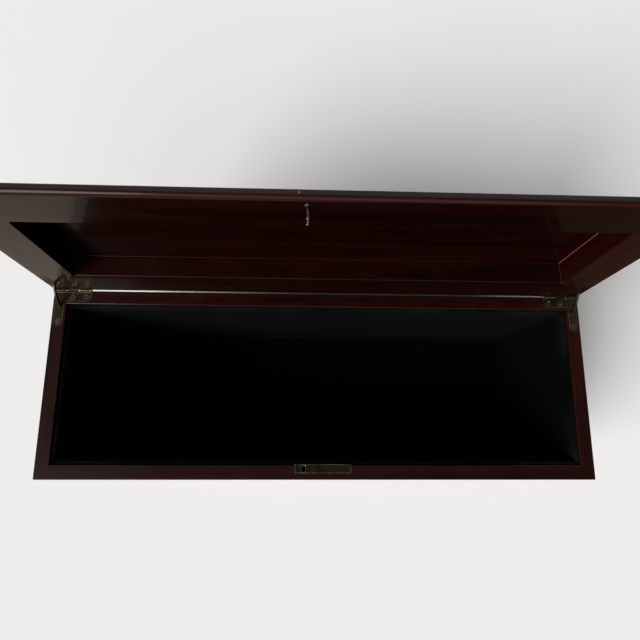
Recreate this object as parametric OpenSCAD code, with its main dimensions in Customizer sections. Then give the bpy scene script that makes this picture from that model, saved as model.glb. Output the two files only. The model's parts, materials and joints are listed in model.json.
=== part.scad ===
// Long lined chest with a raised, recessed lid on a pair of stop hinges, and a small lock.
// Sizes are in millimetres. X runs along the front, Y towards the hinges, Z up from the felt.
// The lid is drawn shut and then turned about the hinge line to the angle it rests at.

/* [Case] */
// outside length of the case along the hinge line
case_length = 480; // [380:5:620]
// outside depth of the case from the front to the hinge side
case_depth = 163; // [120:1:240]
// height of the rim above the underside of the felt
rim_height = 178; // [120:1:240]
// thickness of the four case walls
wall = 12; // [11:0.5:18]
// thickness of the bottom panel
bottom_thickness = 8; // [5:0.5:12]
// thickness of the felt under the base
felt_thickness = 1.5; // [1:0.1:3]
// inset of the felt from the outer faces
felt_inset = 4; // [2:0.5:10]
// thickness of the cloth-covered lining boards
lining_thickness = 3; // [2:0.1:5]
// drop of the lining boards' top edges below the rim
lining_drop = 2.5; // [1:0.1:6]

/* [Lid] */
// gap between the shut lid and the rim
lid_gap = 0.4; // [0.3:0.05:1]
// thickness of the lid at its outer edge
lid_edge = 6.4; // [5:0.1:10]
// thickness of the lid at the inner edge of its frame
lid_height = 23; // [18:0.5:30]
// width of the lid frame at the two ends
lid_side_border = 33; // [25:0.5:45]
// width of the lid frame at the free edge
lid_front_border = 36.5; // [28:0.5:50]
// width of the lid frame at the hinges
lid_rear_border = 34.5; // [28:0.5:50]
// depth of the recess inside the lid frame
lid_recess = 18.5; // [12:0.5:24]
// share of the frame width that lies outside the panel's seat
panel_seat = 0.85; // [0.75:0.01:0.9]
// angle from shut to open, where the stay lugs stop the lid
open_angle = 95.3; // [80:0.1:110]

/* [Hinges] */
// thickness of the hinge leaves, let in flush
leaf_thickness = 1.5; // [1.2:0.1:2]
// distance of each leaf from the case's end face
leaf_inset = 1.6; // [1:0.1:3]
// width of the leaf arm along the case end
leaf_arm = 8; // [6:0.5:10]
// distance that the leaf reaches from the hinge side on its long arm
leaf_reach = 32; // [24:1:44]
// width of the leaf arm along the hinge side
leaf_rear_arm = 9.6; // [8:0.1:11]
// distance of the barrel's inner end from the case's end face
barrel_end = 33; // [28:0.5:44]
// distance of the barrel's outer end from the case's end face
barrel_start = 2; // [1.6:0.1:4]
// radius of the hinge barrel
barrel_r = 2; // [1.6:0.1:2.6]
// distance of the hinge line behind the case
hinge_back = 0.5; // [0.4:0.1:2.5]
// radius of the hinge pin
pin_r = 1; // [0.8:0.05:1.3]
// radial clearance of the turning fits
turn_clear = 0.05; // [0.02:0.01:0.1]
// end gap between neighbouring knuckles
knuckle_gap = 0.3; // [0.2:0.05:0.5]
// radial room around the barrel
barrel_clear = 0.4; // [0.3:0.05:0.8]

/* [Stays] */
// distance of each stay from the case's end face
stay_inset = 6.2; // [5:0.1:8]
// distance of the stay's slot in front of the hinge line
stay_reach = 14.5; // [12:0.5:18]
// radius of the stay's curve
stay_radius = 36; // [28:1:48]
// thickness of the stay
stay_thickness = 1.4; // [1:0.1:2]
// width of the stay
stay_width = 2.6; // [2:0.1:3.4]
// radius of the stay's eye
stay_eye_r = 2; // [1.6:0.1:2.4]
// height of the stay's rivet above the lid's inner face, with the lid shut
rivet_rise = 1.6; // [1.2:0.1:2.4]
// radius of the stay's rivet
rivet_r = 0.7; // [0.6:0.05:0.9]
// projection of the stop lug in front of the stay
lug_out = 1.7; // [1.5:0.1:2.4]
// height of the stop lug
lug_height = 2.4; // [2:0.1:3]
// room left between moving hinge pieces
stay_clear = 0.3; // [0.3:0.05:0.5]

/* [Screws] */
// radius of a screw's head
screw_head_r = 2.1; // [1.8:0.1:2.4]
// radius of a screw's shank
screw_r = 1.05; // [0.9:0.05:1.3]
// length of a screw in the case
case_screw_length = 10; // [8:0.5:12]
// length of a screw in the lid
lid_screw_length = 6; // [5:0.5:6.5]

/* [Lock] */
// width of the lock plate's slot for the catch pin
plate_slot = 3.4; // [2.9:0.1:4]
// length of the lock plate
plate_length = 48.5; // [40:0.5:60]
// distance of the lock plate's left end from the middle of the case
plate_left = 21.8; // [18:0.1:26]
// distance of the lock plate's front edge from the case's front face
plate_front = 5.5; // [5:0.1:7]
// width of the lock plate
plate_width = 7.3; // [6:0.1:9]
// distance of the catch pin from the middle of the case
catch_left = 14.2; // [10:0.1:18]
// distance of the catch pin from the front faces
catch_front = 9; // [8:0.1:10]
// radius of the catch pin
catch_r = 1.15; // [1:0.05:1.4]
// projection of the catch pin from the lid's inner face
catch_length = 12.8; // [11:0.1:15]
// radius of the catch pin's neck
neck_r = 0.8; // [0.5:0.05:0.8]
// depth of the lock case below its plate
lock_depth = 28.5; // [24:0.5:34]
// travel of the bolt
bolt_travel = 3; // [2:0.1:4]
// height of the keyhole's round part above the felt
keyhole_height = 157; // [150:0.5:162]

/* [Hidden] */
$fn = 64;
eps = 0.01;
over = 1;                                   // cut beyond a face
sheet = 0.8;                                // lock case sheet
screw_head_h = screw_head_r - screw_r;      // countersunk at 90 degrees
slot_depth = 0.5;
slot_width = 0.6;
half_l = case_length / 2;
half_d = case_depth / 2;
axis_y = half_d + hinge_back;
axis_z = rim_height + lid_gap / 2;
lid_z = rim_height + lid_gap;               // lid's inner face when shut
bottom_z = felt_thickness + bottom_thickness;
floor_z = bottom_z + lining_thickness;
lining_top = rim_height - lining_drop;
leaf_z = rim_height - leaf_thickness;
knuckle_step = (barrel_end - barrel_start - 2 * knuckle_gap) / 3;
knuckle_two = barrel_start + knuckle_step + knuckle_gap;
knuckle_three = knuckle_two + knuckle_step + knuckle_gap;
// screw centres of one leaf: distance from the end face, distance from the hinge side
leaf_screws = [[leaf_inset + leaf_arm / 2, leaf_reach - 4.4], [16.5, 5.8], [28.3, 5.8]];

// the stay: its rivet, where it leaves the case leaf and the middle of its curve, as [y, z]
function opened(p) = [axis_y + (p[0] - axis_y) * cos(open_angle) + (p[1] - axis_z) * sin(open_angle),
                      axis_z - (p[0] - axis_y) * sin(open_angle) + (p[1] - axis_z) * cos(open_angle)];
stay_y = axis_y - stay_reach;
rivet_shut = [stay_y, lid_z + rivet_rise];
rivet = opened(rivet_shut);
mouth = [stay_y, rim_height - leaf_thickness / 2];
chord = norm(rivet - mouth);
rise = sqrt(pow(stay_radius, 2) - pow(chord / 2, 2));
curve = (rivet + mouth) / 2 + rise * [rivet[1] - mouth[1], mouth[0] - rivet[0]] / chord;
lug_top = leaf_z - 0.25;
lug_bottom = lug_top - lug_height;
// height of the stay's room in the lid above the lid's inner face
lid_pocket = rivet_rise + stay_eye_r + 0.4;
// room cut for the stay in the case: in front of the mouth, behind it, and down
mortise_front = 4.9;
mortise_rear = 9.8;
mortise_depth = 25.8;

// lock
lock_y = -half_d + plate_front;             // front edge of the plate
lock_inner = -half_d + wall;                // inner face of the front wall
lock_x0 = -plate_left + 1.3;
lock_x1 = lock_x0 + plate_length - 2.6;
lock_z0 = leaf_z - lock_depth;
lock_flange = 8;                            // flange below the lock case
flange_thickness = 1.5;
catch_x = -catch_left;
catch_y = -half_d + catch_front;
neck_z0 = lid_z - catch_length + 1.8;       // lower end of the pin's neck when shut
neck_z1 = neck_z0 + 2.4;
bolt_z0 = neck_z0 + 0.4;
bolt_thickness = 1.6;
bolt_x0 = catch_x + catch_r + 0.5;
bolt_length = 27;
bolt_half = 1.95;
bolt_y = (lock_y + sheet + lock_inner - sheet) / 2 + 0.1;
key_x = 2.4;
key_post_r = 1;
key_hole_r = 2.6;
key_slot = 2.6;
key_slot_drop = 8;
key_slot_x = key_slot / 2;
plate_z = 1;                                // escutcheon thickness
plate_r = 6.5;
plate_drop = 6;                             // from the round part to the lower end's centre
shank_in = 6.5;                             // catch pin's length inside the lid
collar_r = 2.4;
collar_depth = 2;

wood = [0.22, 0.07, 0.05];
wood_lid = [0.26, 0.08, 0.05];
velvet = [0.03, 0.04, 0.07];
felt = [0.05, 0.05, 0.05];
brass = [0.55, 0.46, 0.28];
steel = [0.62, 0.62, 0.6];

// ---------- shared shapes ----------

// turns what is drawn with the lid shut to where the lid rests
module on_lid() {
    translate([0, axis_y, axis_z]) rotate([-open_angle, 0, 0]) translate([0, -axis_y, -axis_z]) children();
}

// puts a hinge at the left end of the case, or at the right end
module at_end(right) {
    mirror([right ? 1 : 0, 0, 0]) translate([-half_l, half_d, 0]) children();
}

module both_ends() {
    at_end(false) children();
    at_end(true) children();
}

// plan of a mitred strip along the front, between an outer and an inner rectangle
module strip_front(side, front) {
    polygon([[-half_l, -half_d], [half_l, -half_d],
             [half_l - side, -half_d + front], [-half_l + side, -half_d + front]]);
}

module strip_left(side, front, rear) {
    polygon([[-half_l, -half_d], [-half_l + side, -half_d + front],
             [-half_l + side, half_d - rear], [-half_l, half_d]]);
}

// plan of one hinge leaf, from the case's end face and hinge side
module leaf_plan() {
    corner = 3;
    translate([leaf_inset, -leaf_rear_arm]) square([barrel_end - corner - leaf_inset, leaf_rear_arm]);
    translate([barrel_end - corner - eps, -leaf_rear_arm + corner])
        square([corner + eps, leaf_rear_arm - corner]);
    translate([barrel_end - corner, -leaf_rear_arm + corner]) circle(corner);
    translate([leaf_inset, -leaf_reach + leaf_arm / 2]) square([leaf_arm, leaf_reach - leaf_arm / 2]);
    translate([leaf_inset + leaf_arm / 2, -leaf_reach + leaf_arm / 2]) circle(leaf_arm / 2);
}

// cylinder along X about the hinge line, between two distances from the end face
module about_axis(r, x0, x1) {
    translate([x0, hinge_back, axis_z]) rotate([0, 90, 0]) cylinder(r = r, h = x1 - x0);
}

module barrel_room(extra) {
    about_axis(barrel_r + extra, barrel_start - barrel_clear, barrel_end + barrel_clear);
}

// countersunk screw, head at z = 0, pointing down; the fitting hole is the same shape
module screw(length) {
    translate([0, 0, -screw_head_h]) cylinder(r1 = screw_r, r2 = screw_head_r, h = screw_head_h);
    translate([0, 0, -length]) cylinder(r = screw_r, h = length - screw_head_h + eps);
}

module slotted_screw(length, turn) {
    difference() {
        screw(length);
        rotate([0, 0, turn]) translate([-screw_head_r, -slot_width / 2, -slot_depth])
            cube([2 * screw_head_r, slot_width, slot_depth + over]);
    }
}

// puts its child at each screw of one leaf, on the case
module case_screw_places() {
    for (p = leaf_screws) translate([p[0], -p[1], rim_height]) children();
}

// the same on the shut lid, pointing up
module lid_screw_places() {
    for (p = leaf_screws) translate([p[0], -p[1], lid_z]) mirror([0, 0, 1]) children();
}

// what one hinge cuts out of the case's wood
module case_hinge_room() {
    translate([0, 0, leaf_z]) linear_extrude(leaf_thickness + over) leaf_plan();
    barrel_room(barrel_clear);
    translate([stay_inset - stay_thickness / 2 - 0.45, -hinge_offset() - mortise_front, rim_height - mortise_depth])
        cube([stay_thickness + 0.9, mortise_front + mortise_rear, mortise_depth - leaf_thickness + eps]);
    case_screw_places() screw(case_screw_length);
}

// distance of the stay's mouth in front of the hinge side
function hinge_offset() = stay_reach - hinge_back;

// what one hinge cuts out of the lid's wood, with the lid shut
module lid_hinge_room() {
    translate([0, 0, lid_z - over]) linear_extrude(leaf_thickness + over) leaf_plan();
    barrel_room(barrel_clear);
    translate([stay_inset - stay_thickness / 2 - 1.5, -hinge_offset() - 2.5, lid_z + leaf_thickness - eps])
        cube([stay_thickness + 3, 5.5, lid_pocket - leaf_thickness]);
    lid_screw_places() screw(lid_screw_length);
}

// ---------- case ----------

module front_wall() color(wood) difference() {
    translate([0, 0, felt_thickness]) linear_extrude(rim_height - felt_thickness) strip_front(wall, wall);
    lock_plate_room();
    translate([lock_x0, lock_y + 0.2, lock_z0]) cube([lock_x1 - lock_x0, wall, lock_depth + eps]);
    translate([lock_x0, lock_inner - flange_thickness, lock_z0 - lock_flange])
        cube([lock_x1 - lock_x0, wall, lock_flange + eps]);
    key_passage(wall);
    translate([0, -half_d, 0]) rotate([90, 0, 0]) translate([0, 0, -plate_z])
        linear_extrude(plate_z + over) escutcheon_plan();
    escutcheon_pin_places() cylinder(r = 0.5, h = 5);
    lock_screw_places() screw(7);
}

module rear_wall() color(wood) difference() {
    translate([0, 0, felt_thickness]) linear_extrude(rim_height - felt_thickness)
        mirror([0, 1, 0]) strip_front(wall, wall);
    both_ends() case_hinge_room();
}

module left_wall() color(wood) difference() {
    translate([0, 0, felt_thickness]) linear_extrude(rim_height - felt_thickness)
        strip_left(wall, wall, wall);
    at_end(false) case_hinge_room();
}

module right_wall() color(wood) difference() {
    translate([0, 0, felt_thickness]) linear_extrude(rim_height - felt_thickness)
        mirror([1, 0, 0]) strip_left(wall, wall, wall);
    at_end(true) case_hinge_room();
}

module bottom_panel() color(wood)
    translate([-half_l + wall, -half_d + wall, felt_thickness])
        cube([case_length - 2 * wall, case_depth - 2 * wall, bottom_thickness]);

module base_felt() color(felt)
    translate([-half_l + felt_inset, -half_d + felt_inset, 0])
        cube([case_length - 2 * felt_inset, case_depth - 2 * felt_inset, felt_thickness]);

// ---------- lining ----------

module lining_floor() color(velvet)
    translate([-half_l + wall, -half_d + wall, bottom_z])
        cube([case_length - 2 * wall, case_depth - 2 * wall, lining_thickness]);

module lining_front() color(velvet)
    translate([-half_l + wall, -half_d + wall, floor_z])
        cube([case_length - 2 * wall, lining_thickness, lining_top - floor_z]);

module lining_rear() color(velvet)
    translate([-half_l + wall, half_d - wall - lining_thickness, floor_z])
        cube([case_length - 2 * wall, lining_thickness, lining_top - floor_z]);

module lining_left() color(velvet)
    translate([-half_l + wall, -half_d + wall + lining_thickness, floor_z])
        cube([lining_thickness, case_depth - 2 * (wall + lining_thickness), lining_top - floor_z]);

module lining_right() color(velvet)
    translate([half_l - wall - lining_thickness, -half_d + wall + lining_thickness, floor_z])
        cube([lining_thickness, case_depth - 2 * (wall + lining_thickness), lining_top - floor_z]);

// ---------- hinges ----------

module case_leaf() color(brass) difference() {
    union() {
        difference() {
            translate([0, 0, leaf_z]) linear_extrude(leaf_thickness) leaf_plan();
            barrel_room(stay_clear);
        }
        for (x = [barrel_start, knuckle_three]) {
            about_axis(barrel_r, x, x + knuckle_step);
            translate([x, -3, leaf_z]) cube([knuckle_step, 3 + hinge_back, leaf_thickness]);
        }
    }
    about_axis(pin_r, 0, barrel_end + 2);
    translate([stay_inset - stay_thickness / 2 - stay_clear, -hinge_offset() - 2.2, leaf_z - over])
        cube([stay_thickness + 2 * stay_clear, 4.5, leaf_thickness + 2 * over]);
    case_screw_places() screw(case_screw_length);
}

module lid_leaf() color(brass) difference() {
    union() {
        difference() {
            translate([0, 0, lid_z]) linear_extrude(leaf_thickness) leaf_plan();
            barrel_room(stay_clear);
        }
        about_axis(barrel_r, knuckle_two, knuckle_two + knuckle_step);
        translate([knuckle_two, -3, lid_z]) cube([knuckle_step, 3 + hinge_back, leaf_thickness]);
        translate([stay_inset - stay_thickness / 2 - 1.3, -hinge_offset() - 1.8, lid_z])
            cube([stay_thickness + 2.6, 3.6, rivet_rise + rivet_r + 0.9]);
    }
    about_axis(pin_r + turn_clear, 0, barrel_end + 2);
    translate([stay_inset - stay_thickness / 2 - stay_clear, -hinge_offset() - 2.3, lid_z - over])
        cube([stay_thickness + 2 * stay_clear, 5, lid_pocket + 2 * over]);
    translate([stay_inset - 3, -hinge_offset(), rivet_shut[1]]) rotate([0, 90, 0]) cylinder(r = rivet_r, h = 6);
    lid_screw_places() screw(lid_screw_length);
}

module left_case_leaf() at_end(false) case_leaf();
module right_case_leaf() at_end(true) case_leaf();
module left_lid_leaf() on_lid() at_end(false) lid_leaf();
module right_lid_leaf() on_lid() at_end(true) lid_leaf();

module left_hinge_pin() color(brass) at_end(false) about_axis(pin_r, barrel_start - 0.3, barrel_end + 0.3);
module right_hinge_pin() color(brass) at_end(true) about_axis(pin_r, barrel_start - 0.3, barrel_end + 0.3);

module case_leaf_screws() color(brass) both_ends()
    for (i = [0:2]) translate([leaf_screws[i][0], -leaf_screws[i][1], rim_height])
        slotted_screw(case_screw_length, 35 + 50 * i);

module lid_leaf_screws() color(brass) on_lid() both_ends()
    for (i = [0:2]) translate([leaf_screws[i][0], -leaf_screws[i][1], lid_z]) mirror([0, 0, 1])
        slotted_screw(lid_screw_length, 10 + 65 * i);

module stay_rivet() color(brass) {
    ear = stay_thickness / 2 + 1.3;
    translate([stay_inset - ear, -hinge_offset(), rivet_shut[1]]) rotate([0, 90, 0])
        cylinder(r = rivet_r, h = 2 * ear);
}

module left_stay_rivet() on_lid() at_end(false) stay_rivet();
module right_stay_rivet() on_lid() at_end(true) stay_rivet();

// curved stay, drawn where it is with the lid open
module stay_profile() {
    difference() {
        union() {
            intersection() {
                difference() {
                    translate(curve) circle(stay_radius + stay_width / 2, $fn = 360);
                    translate(curve) circle(stay_radius - stay_width / 2, $fn = 360);
                }
                polygon([curve, rivet, rivet + [-14, 2], [mouth[0] - 14, mouth[1]],
                         [mouth[0] - 14, lug_bottom], [curve[0], lug_bottom]]);
            }
            translate(rivet) circle(stay_eye_r);
            lug_y = curve[0] - sqrt(pow(stay_radius + stay_width / 2, 2) - pow(lug_top - curve[1], 2));
            translate([lug_y - lug_out, lug_bottom]) square([lug_out + 1.2, lug_height]);
        }
        translate(rivet) circle(rivet_r + turn_clear);
    }
}

module stay() color(steel)
    translate([stay_inset - stay_thickness / 2, -half_d, 0])
        multmatrix([[0, 0, 1, 0], [1, 0, 0, 0], [0, 1, 0, 0], [0, 0, 0, 1]])
            linear_extrude(stay_thickness) stay_profile();

module left_stay() at_end(false) stay();
module right_stay() at_end(true) stay();

// ---------- lock ----------

module lock_plate_plan() {
    r = 0.8;
    translate([-plate_left + r, lock_y]) square([plate_length - 2 * r, plate_width]);
    translate([-plate_left, lock_y + r]) square([plate_length, plate_width - 2 * r]);
    for (x = [-plate_left + r, -plate_left + plate_length - r], y = [lock_y + r, lock_y + plate_width - r])
        translate([x, y]) circle(r);
}

module lock_plate_room() translate([0, 0, leaf_z]) linear_extrude(leaf_thickness + over) lock_plate_plan();

module lock_plate() color(brass) difference() {
    translate([0, 0, leaf_z]) linear_extrude(leaf_thickness) lock_plate_plan();
    translate([catch_x - plate_slot / 2, lock_y + 0.7, leaf_z - over])
        cube([plate_slot, plate_width - 1.4, leaf_thickness + 2 * over]);
}

// passage of the key through the wall, from the outer face inwards
module key_passage(length) {
    translate([key_x, -half_d - over, keyhole_height]) rotate([-90, 0, 0])
        cylinder(r = key_hole_r, h = length - plate_front + over);
    translate([key_x - key_slot_x, -half_d - over, keyhole_height - key_slot_drop])
        cube([key_slot, length - plate_front + over, key_slot_drop]);
}

module lock_case() color(steel) {
    back = lock_inner - sheet;
    front = lock_y + 0.2;
    difference() {
        translate([lock_x0, front, lock_z0]) cube([lock_x1 - lock_x0, lock_inner - front, lock_depth]);
        translate([lock_x0 + sheet, front + sheet, lock_z0 + sheet])
            cube([lock_x1 - lock_x0 - 2 * sheet, back - front - sheet, lock_depth]);
        key_passage(wall);
        translate([key_x, lock_inner - sheet - over, keyhole_height]) rotate([-90, 0, 0])
            cylinder(r = key_post_r, h = sheet + 2 * over);
    }
    for (z = [bolt_z0 - 1.3, bolt_z0 + bolt_thickness + 0.3], y = [front + sheet - eps, back - 0.7])
        translate([lock_x0 + 12, y, z]) cube([lock_x1 - lock_x0 - 12 - sheet + eps, 0.7 + eps, 1]);
    difference() {
        translate([lock_x0, lock_inner - flange_thickness, lock_z0 - lock_flange])
            cube([lock_x1 - lock_x0, flange_thickness, lock_flange + eps]);
        lock_screw_places() screw(7);
    }
}

module lock_key_post() color(steel)
    translate([key_x, lock_inner, keyhole_height]) rotate([90, 0, 0]) cylinder(r = key_post_r, h = wall - plate_front);

module lock_screw_places() {
    for (x = [lock_x0 + 7, lock_x1 - 7]) translate([x, lock_inner, lock_z0 - lock_flange / 2])
        rotate([-90, 0, 0]) children();
}

module lock_screws() color(steel) lock_screw_places() slotted_screw(7, 20);

module escutcheon_plan() {
    translate([key_x, keyhole_height]) circle(plate_r);
    translate([key_x, keyhole_height - plate_drop - 3]) circle(plate_r - 1.5);
    polygon([[key_x - plate_r + 0.4, keyhole_height - 2], [key_x - plate_r + 1.7, keyhole_height - plate_drop - 3],
             [key_x + plate_r - 1.7, keyhole_height - plate_drop - 3], [key_x + plate_r - 0.4, keyhole_height - 2]]);
}

module escutcheon_pin_places() {
    for (z = [keyhole_height + 4.5, keyhole_height - plate_drop - 5.8])
        translate([key_x, -half_d, z]) rotate([-90, 0, 0]) children();
}

module keyhole_escutcheon() color(brass) difference() {
    translate([0, -half_d, 0]) rotate([90, 0, 0]) translate([0, 0, -plate_z])
        linear_extrude(plate_z) escutcheon_plan();
    key_passage(wall);
    escutcheon_pin_places() cylinder(r = 0.5, h = 5);
}

module escutcheon_pins() color(brass) escutcheon_pin_places() cylinder(r = 0.5, h = 5);

// fork at the left end takes the neck of the catch pin; the tail below is pushed by the key
module lock_bolt() color(steel) {
    difference() {
        translate([bolt_x0, bolt_y - bolt_half, bolt_z0]) cube([bolt_length, 2 * bolt_half, bolt_thickness]);
        translate([bolt_x0 - over, catch_y - 1, bolt_z0 - over])
            cube([bolt_travel + 0.6 + over, 2, bolt_thickness + 2 * over]);
    }
    for (x = [key_x - 2.5, key_x + 4.5])
        translate([x, bolt_y - 0.9, keyhole_height + 4]) cube([1.6, 1.8, bolt_z0 - keyhole_height - 4 + eps]);
}

// ---------- lid ----------

// section of a lid rail from its outer edge, for a frame of the given width
module rail_section(width) {
    seat = width * panel_seat;
    polygon([[0, 0], [width, 0], [width, lid_recess], [seat, lid_recess],
             [seat, lid_edge + (lid_height - lid_edge) * panel_seat], [0, lid_edge]]);
}

module lid_front_rail() color(wood_lid) on_lid() difference() {
    intersection() {
        translate([-half_l, -half_d, lid_z]) rotate([90, 0, 90]) linear_extrude(case_length)
            rail_section(lid_front_border);
        translate([0, 0, lid_z]) linear_extrude(lid_height) strip_front(lid_side_border, lid_front_border);
    }
    translate([catch_x, catch_y, lid_z - eps]) cylinder(r = catch_r, h = shank_in + eps);
    translate([catch_x, catch_y, lid_z - eps]) cylinder(r = collar_r, h = collar_depth + eps);
}

module lid_rear_rail() color(wood_lid) on_lid() difference() {
    intersection() {
        translate([-half_l, half_d, lid_z]) mirror([0, 1, 0]) rotate([90, 0, 90]) linear_extrude(case_length)
            rail_section(lid_rear_border);
        translate([0, 0, lid_z]) linear_extrude(lid_height)
            mirror([0, 1, 0]) strip_front(lid_side_border, lid_rear_border);
    }
    both_ends() lid_hinge_room();
}

module side_rail() difference() {
    intersection() {
        translate([-half_l, half_d, lid_z]) rotate([90, 0, 0]) linear_extrude(case_depth)
            rail_section(lid_side_border);
        translate([0, 0, lid_z]) linear_extrude(lid_height)
            strip_left(lid_side_border, lid_front_border, lid_rear_border);
    }
    at_end(false) lid_hinge_room();
}

module lid_left_rail() color(wood_lid) on_lid() side_rail();
module lid_right_rail() color(wood_lid) on_lid() mirror([1, 0, 0]) side_rail();

// raised panel: a slab on the rails' seats, its upper edge bevelled in line with the rails
module lid_panel() color(wood_lid) on_lid() {
    x0 = -half_l + lid_side_border * panel_seat;
    y0 = -half_d + lid_front_border * panel_seat;
    y1 = half_d - lid_rear_border * panel_seat;
    x2 = -half_l + lid_side_border;
    y2 = -half_d + lid_front_border;
    y3 = half_d - lid_rear_border;
    z0 = lid_z + lid_recess;
    z1 = lid_z + lid_edge + (lid_height - lid_edge) * panel_seat;
    z2 = lid_z + lid_height;
    polyhedron(
        points = [[x0, y0, z0], [-x0, y0, z0], [-x0, y1, z0], [x0, y1, z0],
                  [x0, y0, z1], [-x0, y0, z1], [-x0, y1, z1], [x0, y1, z1],
                  [x2, y2, z2], [-x2, y2, z2], [-x2, y3, z2], [x2, y3, z2]],
        faces = [[0, 1, 2, 3], [4, 5, 1, 0], [5, 6, 2, 1], [6, 7, 3, 2], [7, 4, 0, 3],
                 [8, 9, 5, 4], [9, 10, 6, 5], [10, 11, 7, 6], [11, 8, 4, 7], [11, 10, 9, 8]]);
}

module catch_pin() color(brass) on_lid() translate([catch_x, catch_y, 0]) {
    tip = lid_z - catch_length;
    translate([0, 0, tip]) cylinder(r1 = catch_r - 0.4, r2 = catch_r, h = 0.5);
    translate([0, 0, tip + 0.5]) cylinder(r = catch_r, h = neck_z0 - tip - 0.5);
    translate([0, 0, neck_z0]) cylinder(r = neck_r, h = neck_z1 - neck_z0);
    translate([0, 0, neck_z1]) cylinder(r = catch_r, h = lid_z + shank_in - neck_z1);
}

module catch_collar() color(brass) on_lid() translate([catch_x, catch_y, lid_z]) difference() {
    cylinder(r = collar_r, h = collar_depth);
    translate([0, 0, -over]) cylinder(r = catch_r, h = collar_depth + 2 * over);
}

front_wall();
rear_wall();
left_wall();
right_wall();
bottom_panel();
base_felt();
lining_floor();
lining_front();
lining_rear();
lining_left();
lining_right();
left_case_leaf();
right_case_leaf();
left_hinge_pin();
right_hinge_pin();
case_leaf_screws();
lock_plate();
lock_case();
lock_key_post();
lock_screws();
keyhole_escutcheon();
escutcheon_pins();
lock_bolt();
lid_front_rail();
lid_rear_rail();
lid_left_rail();
lid_right_rail();
lid_panel();
left_lid_leaf();
right_lid_leaf();
lid_leaf_screws();
left_stay_rivet();
right_stay_rivet();
catch_pin();
catch_collar();
left_stay();
right_stay();
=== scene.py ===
"""Long lined chest with a raised, recessed lid on a pair of stop hinges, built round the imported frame.

Everything is in metres, in the frame's axes: X runs along the front, Y towards the hinges, Z up from the
felt. The lid's pieces are worked out with the lid shut, and then turned about the hinge line to where it
rests.
"""

import json
import logging
import math
from collections.abc import Callable, Sequence
from dataclasses import dataclass, field
from enum import Enum

import bmesh
import bpy
import numpy as np
from mathutils import Euler, Matrix, Vector

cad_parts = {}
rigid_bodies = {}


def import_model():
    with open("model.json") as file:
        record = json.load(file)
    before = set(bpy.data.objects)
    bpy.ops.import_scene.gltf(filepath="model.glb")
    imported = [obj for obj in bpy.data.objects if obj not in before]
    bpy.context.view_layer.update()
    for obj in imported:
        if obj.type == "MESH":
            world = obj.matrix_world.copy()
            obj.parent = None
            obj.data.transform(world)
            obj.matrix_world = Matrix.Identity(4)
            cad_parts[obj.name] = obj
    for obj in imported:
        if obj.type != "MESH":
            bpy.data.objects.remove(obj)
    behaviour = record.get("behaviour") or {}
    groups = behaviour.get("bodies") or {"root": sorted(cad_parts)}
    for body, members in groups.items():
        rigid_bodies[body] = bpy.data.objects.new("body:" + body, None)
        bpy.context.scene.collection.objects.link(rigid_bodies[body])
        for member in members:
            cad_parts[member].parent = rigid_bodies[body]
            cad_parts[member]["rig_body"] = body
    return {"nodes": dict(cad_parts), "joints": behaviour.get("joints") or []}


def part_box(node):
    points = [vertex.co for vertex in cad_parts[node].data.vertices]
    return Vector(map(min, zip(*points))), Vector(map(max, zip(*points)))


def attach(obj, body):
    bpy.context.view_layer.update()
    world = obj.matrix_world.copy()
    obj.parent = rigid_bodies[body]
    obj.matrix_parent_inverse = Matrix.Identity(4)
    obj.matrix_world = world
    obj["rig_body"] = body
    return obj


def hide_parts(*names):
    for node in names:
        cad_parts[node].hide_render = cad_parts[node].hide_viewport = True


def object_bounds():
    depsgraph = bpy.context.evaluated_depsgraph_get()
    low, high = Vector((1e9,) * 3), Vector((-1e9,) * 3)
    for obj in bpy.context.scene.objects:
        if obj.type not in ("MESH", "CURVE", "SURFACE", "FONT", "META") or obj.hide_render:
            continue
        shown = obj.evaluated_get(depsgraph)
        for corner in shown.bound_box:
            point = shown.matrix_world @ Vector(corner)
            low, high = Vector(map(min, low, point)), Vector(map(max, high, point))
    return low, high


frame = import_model()
CAD_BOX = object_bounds()

MM = 0.001
MERGE = 0.002 * MM
LID_GAP = 0.4 * MM
SHARP_ANGLE = math.radians(32)
LOG = logging.getLogger("chest")

Colour = tuple[float, float, float, float]
Place = tuple[float, float, float]
Seam = tuple[Place, Place]
Skin = tuple[np.ndarray, list[list[int]]]


# ---------- what the frame says ----------


def joint(name: str) -> dict:
    """The record's joint of that name."""
    return next(j for j in frame["joints"] if j["name"] == name)


def span(node: str) -> tuple[np.ndarray, np.ndarray]:
    """Lowest and highest corner of a CAD node as arrays."""
    low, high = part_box(node)
    return np.array(low), np.array(high)


HINGE_LINE = np.array(joint("lid_hinge")["pos_m"], float)
OPEN_ANGLE = math.radians(joint("lid_hinge")["range_deg"][1])
HALF_LENGTH = CAD_BOX[1][0]
HALF_DEPTH = span("rear_wall")[1][1]
RIM = span("rear_wall")[1][2]
LID_FACE = RIM + LID_GAP


def opened(points: np.ndarray) -> np.ndarray:
    """Turns points of the shut lid to where the lid rests.

    The turn is about the line along X through the hinge: the distance from that line keeps its length while
    its direction turns back by the open angle.

    Args:
        points: places with the lid shut, X, Y and Z in the last axis.

    Returns:
        The same places with the lid open.
    """
    cos, sin = math.cos(OPEN_ANGLE), math.sin(OPEN_ANGLE)
    turn = np.array([[1, 0, 0], [0, cos, sin], [0, -sin, cos]])
    return (points - HINGE_LINE) @ turn.T + HINGE_LINE


def opened_line(*corners: Place) -> tuple[Seam, ...]:
    """A line on the lid, turned to where the lid rests.

    Args:
        corners: places along the line with the lid shut, in order.

    Returns:
        The two ends of each stretch between neighbouring corners.
    """
    places = [tuple(place) for place in opened(np.array(corners)).tolist()]
    return tuple(zip(places[:-1], places[1:]))


# ---------- outlines and skins ----------


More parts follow.
